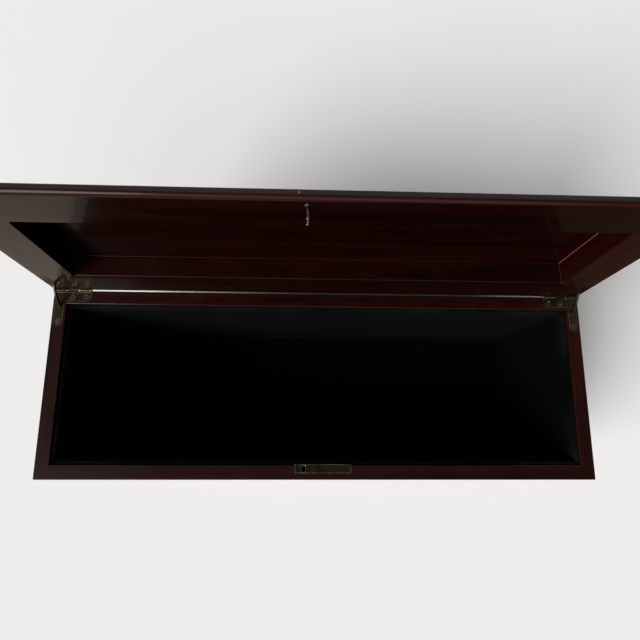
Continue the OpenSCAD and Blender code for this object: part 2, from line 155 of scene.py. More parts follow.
def rounded(outline: Sequence[Sequence[float]], radii: Sequence[float], steps: int = 6) -> np.ndarray:
    """Closed outline with its corners turned into arcs.

    The arc at a corner P runs between the two points that lie radius / tan(half the corner's angle) from P.
    It is a rational quadratic curve with P in the middle and the sine of half the angle as its weight, and
    that is a circle.

    Args:
        outline: corners in order, two numbers each.
        radii: radius at each corner, 0 for a sharp one.
        steps: points on each arc.

    Returns:
        The points in order, one row each.
    """
    corner = np.asarray(outline, float)
    before = np.roll(corner, 1, axis=0) - corner
    after = np.roll(corner, -1, axis=0) - corner
    before /= np.linalg.norm(before, axis=1, keepdims=True)
    after /= np.linalg.norm(after, axis=1, keepdims=True)
    half = np.arccos(np.clip((before * after).sum(axis=1), -1, 1)) / 2
    radius = np.asarray(radii, float)
    reach = (radius / np.tan(np.where(radius > 0, half, 1)))[:, None]
    start, end = (corner + before * reach)[:, None], (corner + after * reach)[:, None]
    s = np.linspace(0, 1, steps)[None, :, None]
    weight = 2 * np.sin(half)[:, None, None] * s * (1 - s)
    curve = (1 - s) ** 2 * start + weight * corner[:, None] + s**2 * end
    return (curve / ((1 - s) ** 2 + weight + s**2)).reshape(-1, 2)


def arc(centre: tuple[float, float], radius: float, start: float, stop: float, steps: int) -> np.ndarray:
    """Points on a circle between two angles in degrees, the ends among them."""
    angle = np.radians(np.linspace(start, stop, steps))
    return np.column_stack([centre[0] + radius * np.cos(angle), centre[1] + radius * np.sin(angle)])


def circle(centre: tuple[float, float], radius: float, steps: int = 48) -> np.ndarray:
    """Points evenly round a whole circle."""
    return arc(centre, radius, 0, 360 - 360 / steps, steps)


def skin(grid: np.ndarray, closed: bool = True, caps: bool = True) -> Skin:
    """Faces over a grid of points.

    Args:
        grid: places as rows, columns and X, Y, Z.
        closed: whether each row runs round and meets itself.
        caps: whether the first and the last row are filled.

    Returns:
        The places in one list, and the faces.
    """
    rows, columns = grid.shape[:2]
    index = np.arange(rows * columns).reshape(rows, columns)
    ring = np.concatenate([index, index[:, :1]], axis=1) if closed else index
    quads = np.stack([ring[:-1, :-1], ring[:-1, 1:], ring[1:, 1:], ring[1:, :-1]], axis=-1)
    faces = quads.reshape(-1, 4).tolist()
    if caps:
        faces += [index[0, ::-1].tolist(), index[-1].tolist()]
    return grid.reshape(-1, 3), faces


def prism(outline: np.ndarray, low: float, high: float, axis: int = 2) -> Skin:
    """Solid with one outline all along an axis: each corner stands at the low and the high end.

    Args:
        outline: closed outline in the two other axes, in the order X, Y, Z.
        low: lower end along the axis.
        high: upper end along the axis.
        axis: 0, 1 or 2 for X, Y or Z.

    Returns:
        Its places and faces.
    """
    ends = np.array([low, high])[:, None]
    grid = np.empty((2, len(outline), 3))
    grid[..., axis] = ends
    grid[..., [a for a in range(3) if a != axis]] = outline
    return skin(grid)


def lathe(profile: np.ndarray, centre: tuple[float, float], steps: int = 48) -> Skin:
    """Solid turned about an upright line: radius and height carried round a full circle.

    Args:
        profile: radius and height, from one pole to the other.
        centre: X and Y of the line.
        steps: columns round the circle.

    Returns:
        Its places and faces.
    """
    angle = np.linspace(0, 2 * np.pi, steps, endpoint=False)
    grid = np.empty((len(profile), steps, 3))
    grid[..., 0] = centre[0] + profile[:, :1] * np.cos(angle)
    grid[..., 1] = centre[1] + profile[:, :1] * np.sin(angle)
    grid[..., 2] = profile[:, 1:]
    return skin(grid, caps=False)


def tidy_mesh(mesh: bpy.types.Mesh, dissolve: float = 0.0) -> None:
    """Merges doubled places, points faces outwards and marks the edges that stay crisp.

    Args:
        mesh: the mesh to put right.
        dissolve: angle in radians under which neighbouring flat faces become one, 0 for never.
    """
    work = bmesh.new()
    work.from_mesh(mesh)
    bmesh.ops.remove_doubles(work, verts=work.verts, dist=MERGE)
    bmesh.ops.dissolve_degenerate(work, edges=work.edges, dist=MERGE)
    if dissolve:
        bmesh.ops.dissolve_limit(work, angle_limit=dissolve, verts=work.verts, edges=work.edges)
    bmesh.ops.recalc_face_normals(work, faces=work.faces)
    work.to_mesh(mesh)
    work.free()
    mesh.polygons.foreach_set("use_smooth", np.ones(len(mesh.polygons), bool))
    mesh.set_sharp_from_angle(angle=SHARP_ANGLE)
    mesh.update()


def make_object(name: str, made: Skin) -> bpy.types.Object:
    """An object at the origin from places and faces.

    Args:
        name: name of the object and of its mesh.
        made: its places and faces.

    Returns:
        The object, in the scene.
    """
    mesh = bpy.data.meshes.new(name)
    mesh.from_pydata(made[0].tolist(), [], made[1])
    tidy_mesh(mesh)
    piece = bpy.data.objects.new(name, mesh)
    bpy.context.scene.collection.objects.link(piece)
    return piece


def cut(piece: bpy.types.Object, rooms: Sequence[Skin]) -> None:
    """Cuts rooms out of a solid and keeps the result as its mesh.

    Args:
        piece: a closed solid.
        rooms: closed solids to take away, one after another.
    """
    cutters = [make_object("cutter", room) for room in rooms]
    for cutter in cutters:
        step = piece.modifiers.new("room", "BOOLEAN")
        step.operation, step.solver, step.object = "DIFFERENCE", "EXACT", cutter
    graph = bpy.context.evaluated_depsgraph_get()
    result = bpy.data.meshes.new_from_object(piece.evaluated_get(graph))
    piece.modifiers.clear()
    spent = piece.data
    piece.data = result
    bpy.data.meshes.remove(spent)
    for cutter in cutters:
        shape = cutter.data
        bpy.data.objects.remove(cutter)
        bpy.data.meshes.remove(shape)
    tidy_mesh(result)
    result.name = piece.name


def even_light(piece: bpy.types.Object) -> None:
    """Lets the wide flat faces set the shading beside a rounded edge."""
    step = piece.modifiers.new("even light", "WEIGHTED_NORMAL")
    step.weight, step.keep_sharp = 100, True


# ---------- node building ----------


class Nodes:
    """Adds and joins the nodes of one tree."""

    def __init__(self, tree: bpy.types.NodeTree) -> None:
        """Holds the tree that is built."""
        self.tree = tree

    def add(self, kind: str, feeds: dict | None = None, **settings: object) -> bpy.types.Node:
        """Adds a node.

        Args:
            kind: node type without its ShaderNode prefix.
            feeds: input name or number to a value or to another node's output.
            settings: properties of the node.

        Returns:
            The node.
        """
        made = self.tree.nodes.new(f"ShaderNode{kind}")
        for name, value in settings.items():
            setattr(made, name, value)
        for key, value in (feeds or {}).items():
            self.feed(made.inputs[key], value)
        return made

    def feed(self, socket: bpy.types.NodeSocket, value: object) -> None:
        """Links an output to a socket, or sets the socket's own value.

        Args:
            socket: the input to feed.
            value: an output, or a value of the socket's kind.
        """
        if isinstance(value, bpy.types.NodeSocket):
            self.tree.links.new(value, socket)
        else:
            socket.default_value = value

    def sum(self, operation: str, first: object, second: object = 0.0,
            clamp: bool = False) -> bpy.types.NodeSocket:
        """One step of arithmetic on two values."""
        return self.add("Math", {0: first, 1: second}, operation=operation, use_clamp=clamp).outputs[0]

    def times(self, first: object, second: object, clamp: bool = False) -> bpy.types.NodeSocket:
        """One value times another."""
        return self.sum("MULTIPLY", first, second, clamp)

    def blend(self, share: object, first: object, second: object) -> bpy.types.NodeSocket:
        """A mix of two colours by a share."""
        return self.add("Mix", {0: share, 6: first, 7: second}, data_type="RGBA").outputs[2]

    def window(self, value: object, low: float, high: float, start: float = 0.0,
               end: float = 1.0) -> bpy.types.NodeSocket:
        """Maps a value smoothly from the low to high range to the start to end range."""
        feeds = {0: value, 1: low, 2: high, 3: start, 4: end}
        return self.add("MapRange", feeds, interpolation_type="SMOOTHSTEP").outputs[0]

    def noise(self, vector: object, scale: float, detail: float = 3.0,
              rough: float = 0.55) -> bpy.types.NodeSocket:
        """Soft noise between 0 and 1 at a number of features to the metre."""
        feeds = {"Vector": vector, "Scale": scale, "Detail": detail, "Roughness": rough}
        return self.add("TexNoise", feeds).outputs[0]

    def stretched(self, vector: object, along: float, across: float) -> bpy.types.NodeSocket:
        """The place scaled for a pattern that runs along X."""
        factors = (along, across, across)
        return self.add("VectorMath", {0: vector, 1: factors}, operation="MULTIPLY").outputs[0]


class Effect(Enum):
    """Surface effects that more than one finish uses, each a node group."""

    GRAIN = "wood grain"
    WEAR = "worn edges"
    DUST = "settled dust"
    RUBBED = "rubbed metal"
    NAP = "cloth nap"
    FILM = "lacquer film"


VALUE_SOCKET, PLACE_SOCKET = "NodeSocketFloat", "NodeSocketVector"


def new_group(effect: Effect, inputs: dict[str, float | None],
              outputs: Sequence[str]) -> tuple[Nodes, dict[str, bpy.types.NodeSocket], bpy.types.Node]:
    """An empty group with its sockets.

    Args:
        effect: which effect it is.
        inputs: name to default; None stands for a place.
        outputs: names of the values that it puts out.

    Returns:
        The builder, the input sockets by name and the output node.
    """
    tree = bpy.data.node_groups.new(effect.value, "ShaderNodeTree")
    for name, default in inputs.items():
        kind = PLACE_SOCKET if default is None else VALUE_SOCKET
        socket = tree.interface.new_socket(name, in_out="INPUT", socket_type=kind)
        if default is not None:
            socket.default_value = default
    for name in outputs:
        tree.interface.new_socket(name, in_out="OUTPUT", socket_type=VALUE_SOCKET)
    source, sink = tree.nodes.new("NodeGroupInput"), tree.nodes.new("NodeGroupOutput")
    return Nodes(tree), {name: source.outputs[name] for name in inputs}, sink


def build_grain() -> bpy.types.NodeTree:
    """Wood that runs along X: broad ribbons, fine streaks and short open pores.

    Returns:
        The group's tree.
    """
    inputs = {"Place": None, "Figure Width": 1.0}
    nodes, given, sink = new_group(Effect.GRAIN, inputs, ("Figure", "Pore", "Height"))
    sway = nodes.noise(nodes.stretched(given["Place"], 4, 9), 1.0, 2.0)
    offset = nodes.add("VectorMath", {0: (0.0, 0.02, 0.02), "Scale": sway}, operation="SCALE").outputs[0]
    bent = nodes.add("VectorMath", {0: given["Place"], 1: offset}, operation="ADD").outputs[0]
    ribbon = nodes.noise(nodes.stretched(bent, 3.0, 85), given["Figure Width"], 2.0)
    streak = nodes.noise(nodes.stretched(bent, 22, 760), 1.0, 3.0, 0.62)
    pore = nodes.noise(nodes.stretched(bent, 190, 3400), 1.0, 1.0)
    figure = nodes.sum("ADD", nodes.times(ribbon, 0.58), nodes.times(streak, 0.42))
    open_pore = nodes.window(pore, 0.60, 0.70)
    nodes.feed(sink.inputs["Figure"], nodes.window(figure, 0.36, 0.64))
    nodes.feed(sink.inputs["Pore"], open_pore)
    nodes.feed(sink.inputs["Height"], nodes.sum("SUBTRACT", nodes.times(streak, 0.25), open_pore))
    return nodes.tree


def build_wear() -> bpy.types.NodeTree:
    """Where an edge is rubbed: the rounded normal leaves the true one, broken up by noise. The metals also
    take their painted edge highlight from it.

    Returns:
        The group's tree.
    """
    inputs = {"Place": None, "Radius": 0.0006, "Break Up": 260.0, "Reach": 0.22}
    nodes, given, sink = new_group(Effect.WEAR, inputs, ("Edge", "Rub"))
    soft = nodes.add("Bevel", {"Radius": given["Radius"]}, samples=4).outputs[0]
    true = nodes.add("NewGeometry").outputs["Normal"]
    same = nodes.add("VectorMath", {0: soft, 1: true}, operation="DOT_PRODUCT").outputs["Value"]
    edge = nodes.window(nodes.sum("SUBTRACT", 1.0, same), 0.01, given["Reach"])
    patch = nodes.noise(given["Place"], given["Break Up"], 4.0, 0.6)
    nodes.feed(sink.inputs["Edge"], edge)
    nodes.feed(sink.inputs["Rub"], nodes.times(edge, nodes.window(patch, 0.46, 0.64)))
    return nodes.tree


def build_dust() -> bpy.types.NodeTree:
    """Specks and a faint film that settle on what faces up.

    Returns:
        The group's tree.
    """
    nodes, given, sink = new_group(Effect.DUST, {"Place": None, "Speck Scale": 900.0}, ("Film", "Speck"))
    normal = nodes.add("NewGeometry").outputs["Normal"]
    up = nodes.add("SeparateXYZ", {0: normal}).outputs[2]
    facing = nodes.window(up, 0.2, 0.95)
    film = nodes.window(nodes.noise(given["Place"], 38.0, 4.0, 0.6), 0.42, 0.75)
    cells = nodes.add("TexVoronoi", {"Vector": given["Place"], "Scale": given["Speck Scale"]})
    kept = nodes.window(nodes.noise(given["Place"], 500.0, 1.0), 0.60, 0.64)
    dot = nodes.times(nodes.window(cells.outputs["Distance"], 0.16, 0.10), kept)
    nodes.feed(sink.inputs["Film"], nodes.times(film, facing))
    nodes.feed(sink.inputs["Speck"], nodes.times(dot, facing))
    return nodes.tree


def build_rubbed() -> bpy.types.NodeTree:
    """Old metal: tarnish in patches, fine draw lines along X and small pits.

    Returns:
        The group's tree.
    """
    inputs = {"Place": None, "Patch Scale": 240.0}
    nodes, given, sink = new_group(Effect.RUBBED, inputs, ("Tarnish", "Line", "Height"))
    patch = nodes.noise(given["Place"], given["Patch Scale"], 5.0, 0.62)
    wide = nodes.noise(given["Place"], 70.0, 2.0)
    line = nodes.noise(nodes.stretched(given["Place"], 180, 5200), 1.0, 2.0)
    pit = nodes.window(nodes.noise(given["Place"], 2600.0, 2.0), 0.66, 0.74)
    tarnish = nodes.sum("ADD", nodes.times(patch, 0.6), nodes.times(wide, 0.4))
    nodes.feed(sink.inputs["Tarnish"], nodes.window(tarnish, 0.38, 0.64))
    nodes.feed(sink.inputs["Line"], line)
    nodes.feed(sink.inputs["Height"], nodes.sum("SUBTRACT", nodes.times(line, 0.4), pit))
    return nodes.tree


def build_nap() -> bpy.types.NodeTree:
    """Short pile: brushed clouds, a fine fibre fleck and a shallow height.

    Returns:
        The group's tree.
    """
    inputs = {"Place": None, "Fibre Scale": 2400.0}
    nodes, given, sink = new_group(Effect.NAP, inputs, ("Cloud", "Fleck", "Height"))
    slow = nodes.noise(given["Place"], 9.0, 2.0)
    cloud = nodes.noise(nodes.stretched(given["Place"], 16, 34), 1.0, 4.0, 0.6)
    fibre = nodes.noise(given["Place"], given["Fibre Scale"], 2.0, 0.7)
    mixed = nodes.sum("ADD", nodes.times(slow, 0.45), nodes.times(cloud, 0.55))
    nodes.feed(sink.inputs["Cloud"], nodes.window(mixed, 0.36, 0.66))
    nodes.feed(sink.inputs["Fleck"], nodes.window(fibre, 0.35, 0.70))
    nodes.feed(sink.inputs["Height"], fibre)
    return nodes.tree


def build_film() -> bpy.types.NodeTree:
    """Sprayed lacquer: a shallow orange peel, and a haze of fine rubbing marks.

    Returns:
        The group's tree.
    """
    nodes, given, sink = new_group(Effect.FILM, {"Place": None, "Peel Scale": 420.0}, ("Peel", "Haze"))
    peel = nodes.noise(given["Place"], given["Peel Scale"], 1.5)
    smear = nodes.noise(nodes.stretched(given["Place"], 14, 60), 1.0, 5.0, 0.65)
    mark = nodes.noise(nodes.stretched(given["Place"], 30, 1900), 1.0, 1.0)
    marks = nodes.window(mark, 0.62, 0.72, 0.0, 0.5)
    haze = nodes.sum("ADD", nodes.window(smear, 0.38, 0.72), marks, clamp=True)
    nodes.feed(sink.inputs["Peel"], peel)
    nodes.feed(sink.inputs["Haze"], haze)
    return nodes.tree


class Effects:
    """Builds each effect's group once and hands it out."""

    builders: dict[Effect, Callable[[], bpy.types.NodeTree]] = {
        Effect.GRAIN: build_grain,
        Effect.WEAR: build_wear,
        Effect.DUST: build_dust,
        Effect.RUBBED: build_rubbed,
        Effect.NAP: build_nap,
        Effect.FILM: build_film,
    }
    made: dict[Effect, bpy.types.NodeTree] = {}

    @classmethod
    def use(cls, nodes: Nodes, effect: Effect, place: object, **values: float) -> bpy.types.Node:
        """Places an effect in a material.

        Args:
            nodes: the material's nodes.
            effect: which effect.
            place: the coordinates that it reads.
            values: its other inputs, with _ for a space.

        Returns:
            The group node.
        """
        if effect not in cls.made:
            cls.made[effect] = cls.builders[effect]()
        feeds = {"Place": place} | {name.replace("_", " "): value for name, value in values.items()}
        made = nodes.tree.nodes.new("ShaderNodeGroup")
        made.node_tree = cls.made[effect]
        for name, value in feeds.items():
            nodes.feed(made.inputs[name], value)
        return made


def new_material(name: str) -> tuple[bpy.types.Material, Nodes, bpy.types.Node]:
    """A material with its nodes and its surface shader.

    Args:
        name: the material's name.

    Returns:
        The material, the builder of its nodes and its shader.
    """
    material = bpy.data.materials.new(name)
    material.use_nodes = True
    tree = material.node_tree
    shader = next(n for n in tree.nodes if n.type == "BSDF_PRINCIPLED")
    return material, Nodes(tree), shader


def set_shader(shader: bpy.types.Node, values: dict[str, object]) -> None:
    """Sets constants on the shader's own sockets."""
    for name, value in values.items():
        shader.inputs[name].default_value = value


# ---------- finishes ----------


class Run(Enum):
    """Which way the grain of a board runs, and whether the board is on the lid."""

    CASE_LONG = "case_long"
    CASE_SHORT = "case_short"
    LID_LONG = "lid_long"
    LID_SHORT = "lid_short"

    def mapping(self) -> tuple[Vector, Euler]:
        """Place and turn that bring this board's own length to X, with the lid's boards turned shut first.

        Returns:
            Location and rotation for a Mapping node.
        """
        on_lid = self in (Run.LID_LONG, Run.LID_SHORT)
        turn = Matrix.Rotation(OPEN_ANGLE, 3, "X") if on_lid else Matrix.Identity(3)
        line = Vector(HINGE_LINE)
        shift = line - turn @ line
        if self in (Run.CASE_SHORT, Run.LID_SHORT):
            swing = Matrix.Rotation(math.radians(90), 3, "Z")
            turn, shift = swing @ turn, swing @ shift
        return shift, turn.to_euler("XYZ")


@dataclass(frozen=True)
class LacqueredWood:
    """Dark red-brown wood under clear gloss lacquer.

    A seam is a line along which the colour turns to the worn one and the lacquer dulls: fully within the
    core's share of its radius, and fading out at the radius. Seams also paint highlights on the right rail
    and paint shade over the panel's left end.
    """

    run: Run
    board: str = "rail"
    deep: Colour = (0.0034, 0.0006, 0.0003, 1)
    red: Colour = (0.0105, 0.0013, 0.0006, 1)
    pore: Colour = (0.0012, 0.0003, 0.0002, 1)
    rubbed: Colour = (0.030, 0.0095, 0.0055, 1)
    dust: Colour = (0.14, 0.12, 0.105, 1)
    bare: Colour = (0.15, 0.11, 0.095, 1)
    # Seam colour; the default pale red paints highlights where no other is given.
    worn: Colour = (0.15, 0.028, 0.021, 1)
    gloss: float = 0.42
    pore_share: float = 0.75
    rub_share: float = 0.55
    film_share: float = 0.012
    speck_share: float = 0.30
    rub_dulling: float = 0.5
    roughness: float = 0.30
    haze_roughness: float = 0.12
    rub_roughness: float = 0.15
    peel_height: float = 0.5
    grain_height: float = 0.22
    chip_radius: float = 1.1 * MM
    chip_ragged: float = 0.8 * MM
    chips: tuple[Place, ...] = ()
    seam_radius: float = 0.6 * MM
    seam_core: float = 0.5
    seam_dulling: float = 0.6
    seams: tuple[Seam, ...] = ()

    def seam_mask(self, nodes: Nodes, place: object) -> object:
        """Lines of the seam colour, painted highlights and painted shade among them: places near a segment,
        by the distance from their foot on it.

        Args:
            nodes: the material's nodes.
            place: object coordinates.

        Returns:
            A mask, 1 along a seam.
        """
        mask: object = 0.0
        for start, end in self.seams:
            run = Vector(end) - Vector(start)
            off = nodes.add("VectorMath", {0: place, 1: start}, operation="SUBTRACT").outputs["Vector"]
            share = nodes.add("VectorMath", {0: off, 1: run / run.length_squared}, operation="DOT_PRODUCT")
            share = nodes.sum("ADD", share.outputs["Value"], 0.0, clamp=True)
            foot = nodes.add("VectorMath", {0: tuple(run), "Scale": share}, operation="SCALE")
            away = nodes.add("VectorMath", {0: off, 1: foot.outputs["Vector"]}, operation="DISTANCE")
            near = nodes.window(away.outputs["Value"], self.seam_radius, self.seam_core * self.seam_radius)
            mask = nodes.sum("MAXIMUM", mask, near)
        return mask

    def chip_mask(self, nodes: Nodes, place: object) -> object:
        """Small chips where the lacquer is gone.

        Args:
            nodes: the material's nodes.
            place: object coordinates.

        Returns:
            A mask, 1 inside a chip.
        """
        ragged = nodes.times(nodes.noise(place, 1500.0, 2.0), self.chip_ragged)
        mask: object = 0.0
        for chip in self.chips:
            away = nodes.add("VectorMath", {0: place, 1: chip}, operation="DISTANCE").outputs["Value"]
            inside = nodes.sum("LESS_THAN", nodes.sum("ADD", away, ragged), self.chip_radius)
            mask = nodes.sum("MAXIMUM", mask, inside)
        return mask

    def build(self) -> bpy.types.Material:
        """The finish as a material.

        Returns:
            The material.
        """
        material, nodes, shader = new_material(f"lacquered_{self.board}_{self.run.value}")
        own = nodes.add("TexCoord").outputs["Object"]
        shift, turn = self.run.mapping()
        place = nodes.add("Mapping", {"Vector": own, "Location": shift, "Rotation": turn}).outputs[0]
        grain = Effects.use(nodes, Effect.GRAIN, place)
        wear = Effects.use(nodes, Effect.WEAR, place)
        dust = Effects.use(nodes, Effect.DUST, place)
        film = Effects.use(nodes, Effect.FILM, place)
        colour = nodes.blend(grain.outputs["Figure"], self.deep, self.red)
        rub, haze = wear.outputs["Rub"], film.outputs["Haze"]
        colour = nodes.blend(nodes.times(grain.outputs["Pore"], self.pore_share), colour, self.pore)
        colour = nodes.blend(nodes.times(rub, self.rub_share), colour, self.rubbed)
        colour = nodes.blend(nodes.times(dust.outputs["Film"], self.film_share), colour, self.dust)
        colour = nodes.blend(nodes.times(dust.outputs["Speck"], self.speck_share), colour, self.dust)
        seam = self.seam_mask(nodes, own)
        colour = nodes.blend(seam, colour, self.worn)
        chip = self.chip_mask(nodes, own)
        colour = nodes.blend(chip, colour, self.bare)
        rough = nodes.sum("ADD", self.roughness, nodes.times(haze, self.haze_roughness))
        rough = nodes.sum("ADD", rough, nodes.times(rub, self.rub_roughness))
        coat = nodes.sum("SUBTRACT", self.gloss, nodes.times(rub, self.rub_dulling * self.gloss))
        coat = nodes.sum("SUBTRACT", coat, nodes.times(seam, self.seam_dulling * self.gloss))
        coat = nodes.sum("SUBTRACT", coat, chip, clamp=True)
        peel = nodes.times(film.outputs["Peel"], self.peel_height)
        height = nodes.sum("ADD", peel, nodes.times(grain.outputs["Height"], self.grain_height))
        bump = nodes.add("Bump", {"Height": height, "Strength": 0.20, "Distance": 0.05 * MM}).outputs[0]
        nodes.feed(shader.inputs["Base Color"], colour)
        nodes.feed(shader.inputs["Roughness"], rough)
        nodes.feed(shader.inputs["Coat Weight"], coat)
        nodes.feed(shader.inputs["Normal"], bump)
        set_shader(shader, {"Specular IOR Level": 0.08, "Coat Roughness": 0.08, "Coat IOR": 1.5})
        return material


@dataclass(frozen=True)
class Velvet:
    """Blue-black pile cloth on the lining boards, with painted light: lighter towards the rim, where the
    light falls on the upper walls.
    """

    deep: Colour = (0.0006, 0.0010, 0.0010, 1)
    painted_lit_tone: Colour = (0.0056, 0.0063, 0.0060, 1)
    lint: Colour = (0.30, 0.30, 0.28, 1)
    painted_light_depth: float = 20 * MM
    painted_light_below: float = 0.02
    painted_light_at_rim: float = 1.3
    lint_share: float = 0.12
    lit_band_smoothness: float = 0.12

    def build(self) -> bpy.types.Material:
        """The finish as a material.

        Returns:
            The material.
        """
        material, nodes, shader = new_material("velvet")
        place = nodes.add("TexCoord").outputs["Object"]
        nap = Effects.use(nodes, Effect.NAP, place)
        dust = Effects.use(nodes, Effect.DUST, place, Speck_Scale=620.0)
        fleck = nodes.sum("ADD", 0.55, nap.outputs["Fleck"])
        share = nodes.times(nap.outputs["Cloud"], fleck, clamp=True)
        height = nodes.add("SeparateXYZ", {0: place}).outputs[2]
        # Painted light: the cloth turns lighter over the top of the walls and stays dark below, where the
        # shade falls.
        lift = nodes.window(height, RIM - self.painted_light_depth, RIM, self.painted_light_below, self.painted_light_at_rim)
        share = nodes.times(share, lift)
        colour = nodes.blend(share, self.deep, self.painted_lit_tone)
        colour = nodes.blend(nodes.times(dust.outputs["Speck"], self.lint_share), colour, self.lint)
        bump = nodes.add("Bump", {"Height": nap.outputs["Height"], "Strength": 0.6, "Distance": 0.25 * MM})
        nodes.feed(shader.inputs["Base Color"], colour)
        smooth = nodes.times(share, self.lit_band_smoothness)
        nodes.feed(shader.inputs["Roughness"], nodes.sum("SUBTRACT", 0.98, smooth))
        nodes.feed(shader.inputs["Normal"], bump.outputs[0])
        sheen = {"Sheen Weight": 0.006, "Sheen Roughness": 0.45, "Sheen Tint": (0.62, 0.72, 0.74, 1)}
        set_shader(shader, sheen | {"Specular IOR Level": 0.03})
        return material


@dataclass(frozen=True)
class Felt:
    """Black wool felt under the base."""

    deep: Colour = (0.0045, 0.0045, 0.0048, 1)
    fuzz: Colour = (0.020, 0.020, 0.021, 1)

    def build(self) -> bpy.types.Material:
        """The finish as a material.

        Returns:
            The material.
        """
        material, nodes, shader = new_material("felt")
        place = nodes.add("TexCoord").outputs["Object"]
        nap = Effects.use(nodes, Effect.NAP, place, Fibre_Scale=1500.0)
        colour = nodes.blend(nap.outputs["Fleck"], self.deep, self.fuzz)
        bump = nodes.add("Bump", {"Height": nap.outputs["Height"], "Strength": 0.8, "Distance": 0.4 * MM})
        nodes.feed(shader.inputs["Base Color"], colour)
        smooth = nodes.times(nap.outputs["Cloud"], 0.08)
        nodes.feed(shader.inputs["Roughness"], nodes.sum("SUBTRACT", 1.0, smooth))
        nodes.feed(shader.inputs["Normal"], bump.outputs[0])
        set_shader(shader, {"Sheen Weight": 0.15, "Sheen Roughness": 0.6, "Specular IOR Level": 0.1})
        return material


@dataclass(frozen=True)
class OldMetal:
    """Metal that has tarnished in its hollows and is rubbed bright on its edges; the bright edge colour is
    also a painted highlight.
    """

    name: str
    slot: str
    bright: Colour
    tarnished: Colour
    edge: Colour
    roughness: float = 0.34
    tarnish_share: float = 0.8
    edge_highlight_share: float = 0.85
    hollow_roughness: float = 0.22
    line_roughness: float = 0.08
    edge_polish: float = 0.12

    def build(self) -> bpy.types.Material:
        """The finish as a material.

        Returns:
            The material.
        """
        material, nodes, shader = new_material(self.name)
        place = nodes.add("TexCoord").outputs["Object"]
        rubbed = Effects.use(nodes, Effect.RUBBED, place)
        wear = Effects.use(nodes, Effect.WEAR, place, Radius=0.0009, Break_Up=700.0, Reach=0.10)
        tarnish = nodes.times(rubbed.outputs["Tarnish"], self.tarnish_share)
        colour = nodes.blend(tarnish, self.bright, self.tarnished)
        edge = wear.outputs["Edge"]
        # Rubbed edges and painted highlight: the edges take the bright edge colour.
        colour = nodes.blend(nodes.times(edge, self.edge_highlight_share), colour, self.edge)
        rough = nodes.sum("ADD", self.roughness - 0.06, nodes.times(tarnish, self.hollow_roughness))
        rough = nodes.sum("ADD", rough, nodes.times(rubbed.outputs["Line"], self.line_roughness))
        rough = nodes.sum("SUBTRACT", rough, nodes.times(edge, self.edge_polish))
        relief = {"Height": rubbed.outputs["Height"], "Strength": 0.35, "Distance": 0.03 * MM}
        bump = nodes.add("Bump", relief).outputs[0]
        nodes.feed(shader.inputs["Base Color"], colour)
        nodes.feed(shader.inputs["Roughness"], rough)
        dulled = nodes.times(tarnish, 0.12)
        nodes.feed(shader.inputs["Metallic"], nodes.sum("SUBTRACT", 1.0, dulled))
        nodes.feed(shader.inputs["Normal"], bump)
        return material


@dataclass(frozen=True)
class PaleFloor:
    """Matt off-white board that the chest stands on; to the gloss it shows a painted reflection, dimmer, and
    darkest to the right as a painted shadow.
    """

    tone: Colour = (0.86, 0.86, 0.86, 1)
    shade: Colour = (0.84, 0.84, 0.84, 1)
    painted_reflection_left: Colour = (0.62, 0.53, 0.46, 1)
    painted_shadow_reflection_right: Colour = (0.075, 0.055, 0.040, 1)
    painted_reflection_from: float = -0.10
    painted_reflection_to: float = 0.25

    def build(self) -> bpy.types.Material:
        """The finish as a material.

        Returns:
            The material.
        """
        material, nodes, shader = new_material("pale_floor")
        place = nodes.add("TexCoord").outputs["Object"]
        colour = nodes.blend(nodes.noise(place, 6.0, 3.0), self.tone, self.shade)
        # Painted reflection: what the gloss sees of the floor runs from warm grey on the left to nearly black
        # on the right, a painted shadow of the chest.
        side = nodes.add("SeparateXYZ", {0: place}).outputs[0]
        reflection_paint = nodes.blend(nodes.window(side, self.painted_reflection_from, self.painted_reflection_to), self.painted_reflection_left, self.painted_shadow_reflection_right)
        mirrored = nodes.add("LightPath").outputs["Is Glossy Ray"]
        nodes.feed(shader.inputs["Base Color"], nodes.blend(mirrored, colour, reflection_paint))
        set_shader(shader, {"Roughness": 0.9, "Specular IOR Level": 0.1})
        return material


LEAF_BRASS = OldMetal("leaf_brass", "antique_brass", (0.046, 0.034, 0.020, 1), (0.016, 0.011, 0.006, 1),
                      (0.42, 0.34, 0.22, 1), roughness=0.32)
PLATE_BRASS = OldMetal("plate_brass", "antique_brass", (0.032, 0.025, 0.016, 1), (0.014, 0.010, 0.007, 1),
                       (0.46, 0.40, 0.30, 1), roughness=0.34)
PIN_BRASS = OldMetal("pin_brass", "antique_brass", (0.085, 0.068, 0.058, 1), (0.036, 0.029, 0.025, 1),
                     (0.46, 0.40, 0.36, 1), roughness=0.24, tarnish_share=0.5)
# Painted light: a brighter copy of the leaf brass, for the right case leaf.
LIT_RIGHT_LEAF_BRASS = OldMetal("lit_right_leaf_brass", "antique_brass", (0.078, 0.058, 0.036, 1),
                       (0.030, 0.021, 0.012, 1), (0.50, 0.41, 0.27, 1), roughness=0.32)
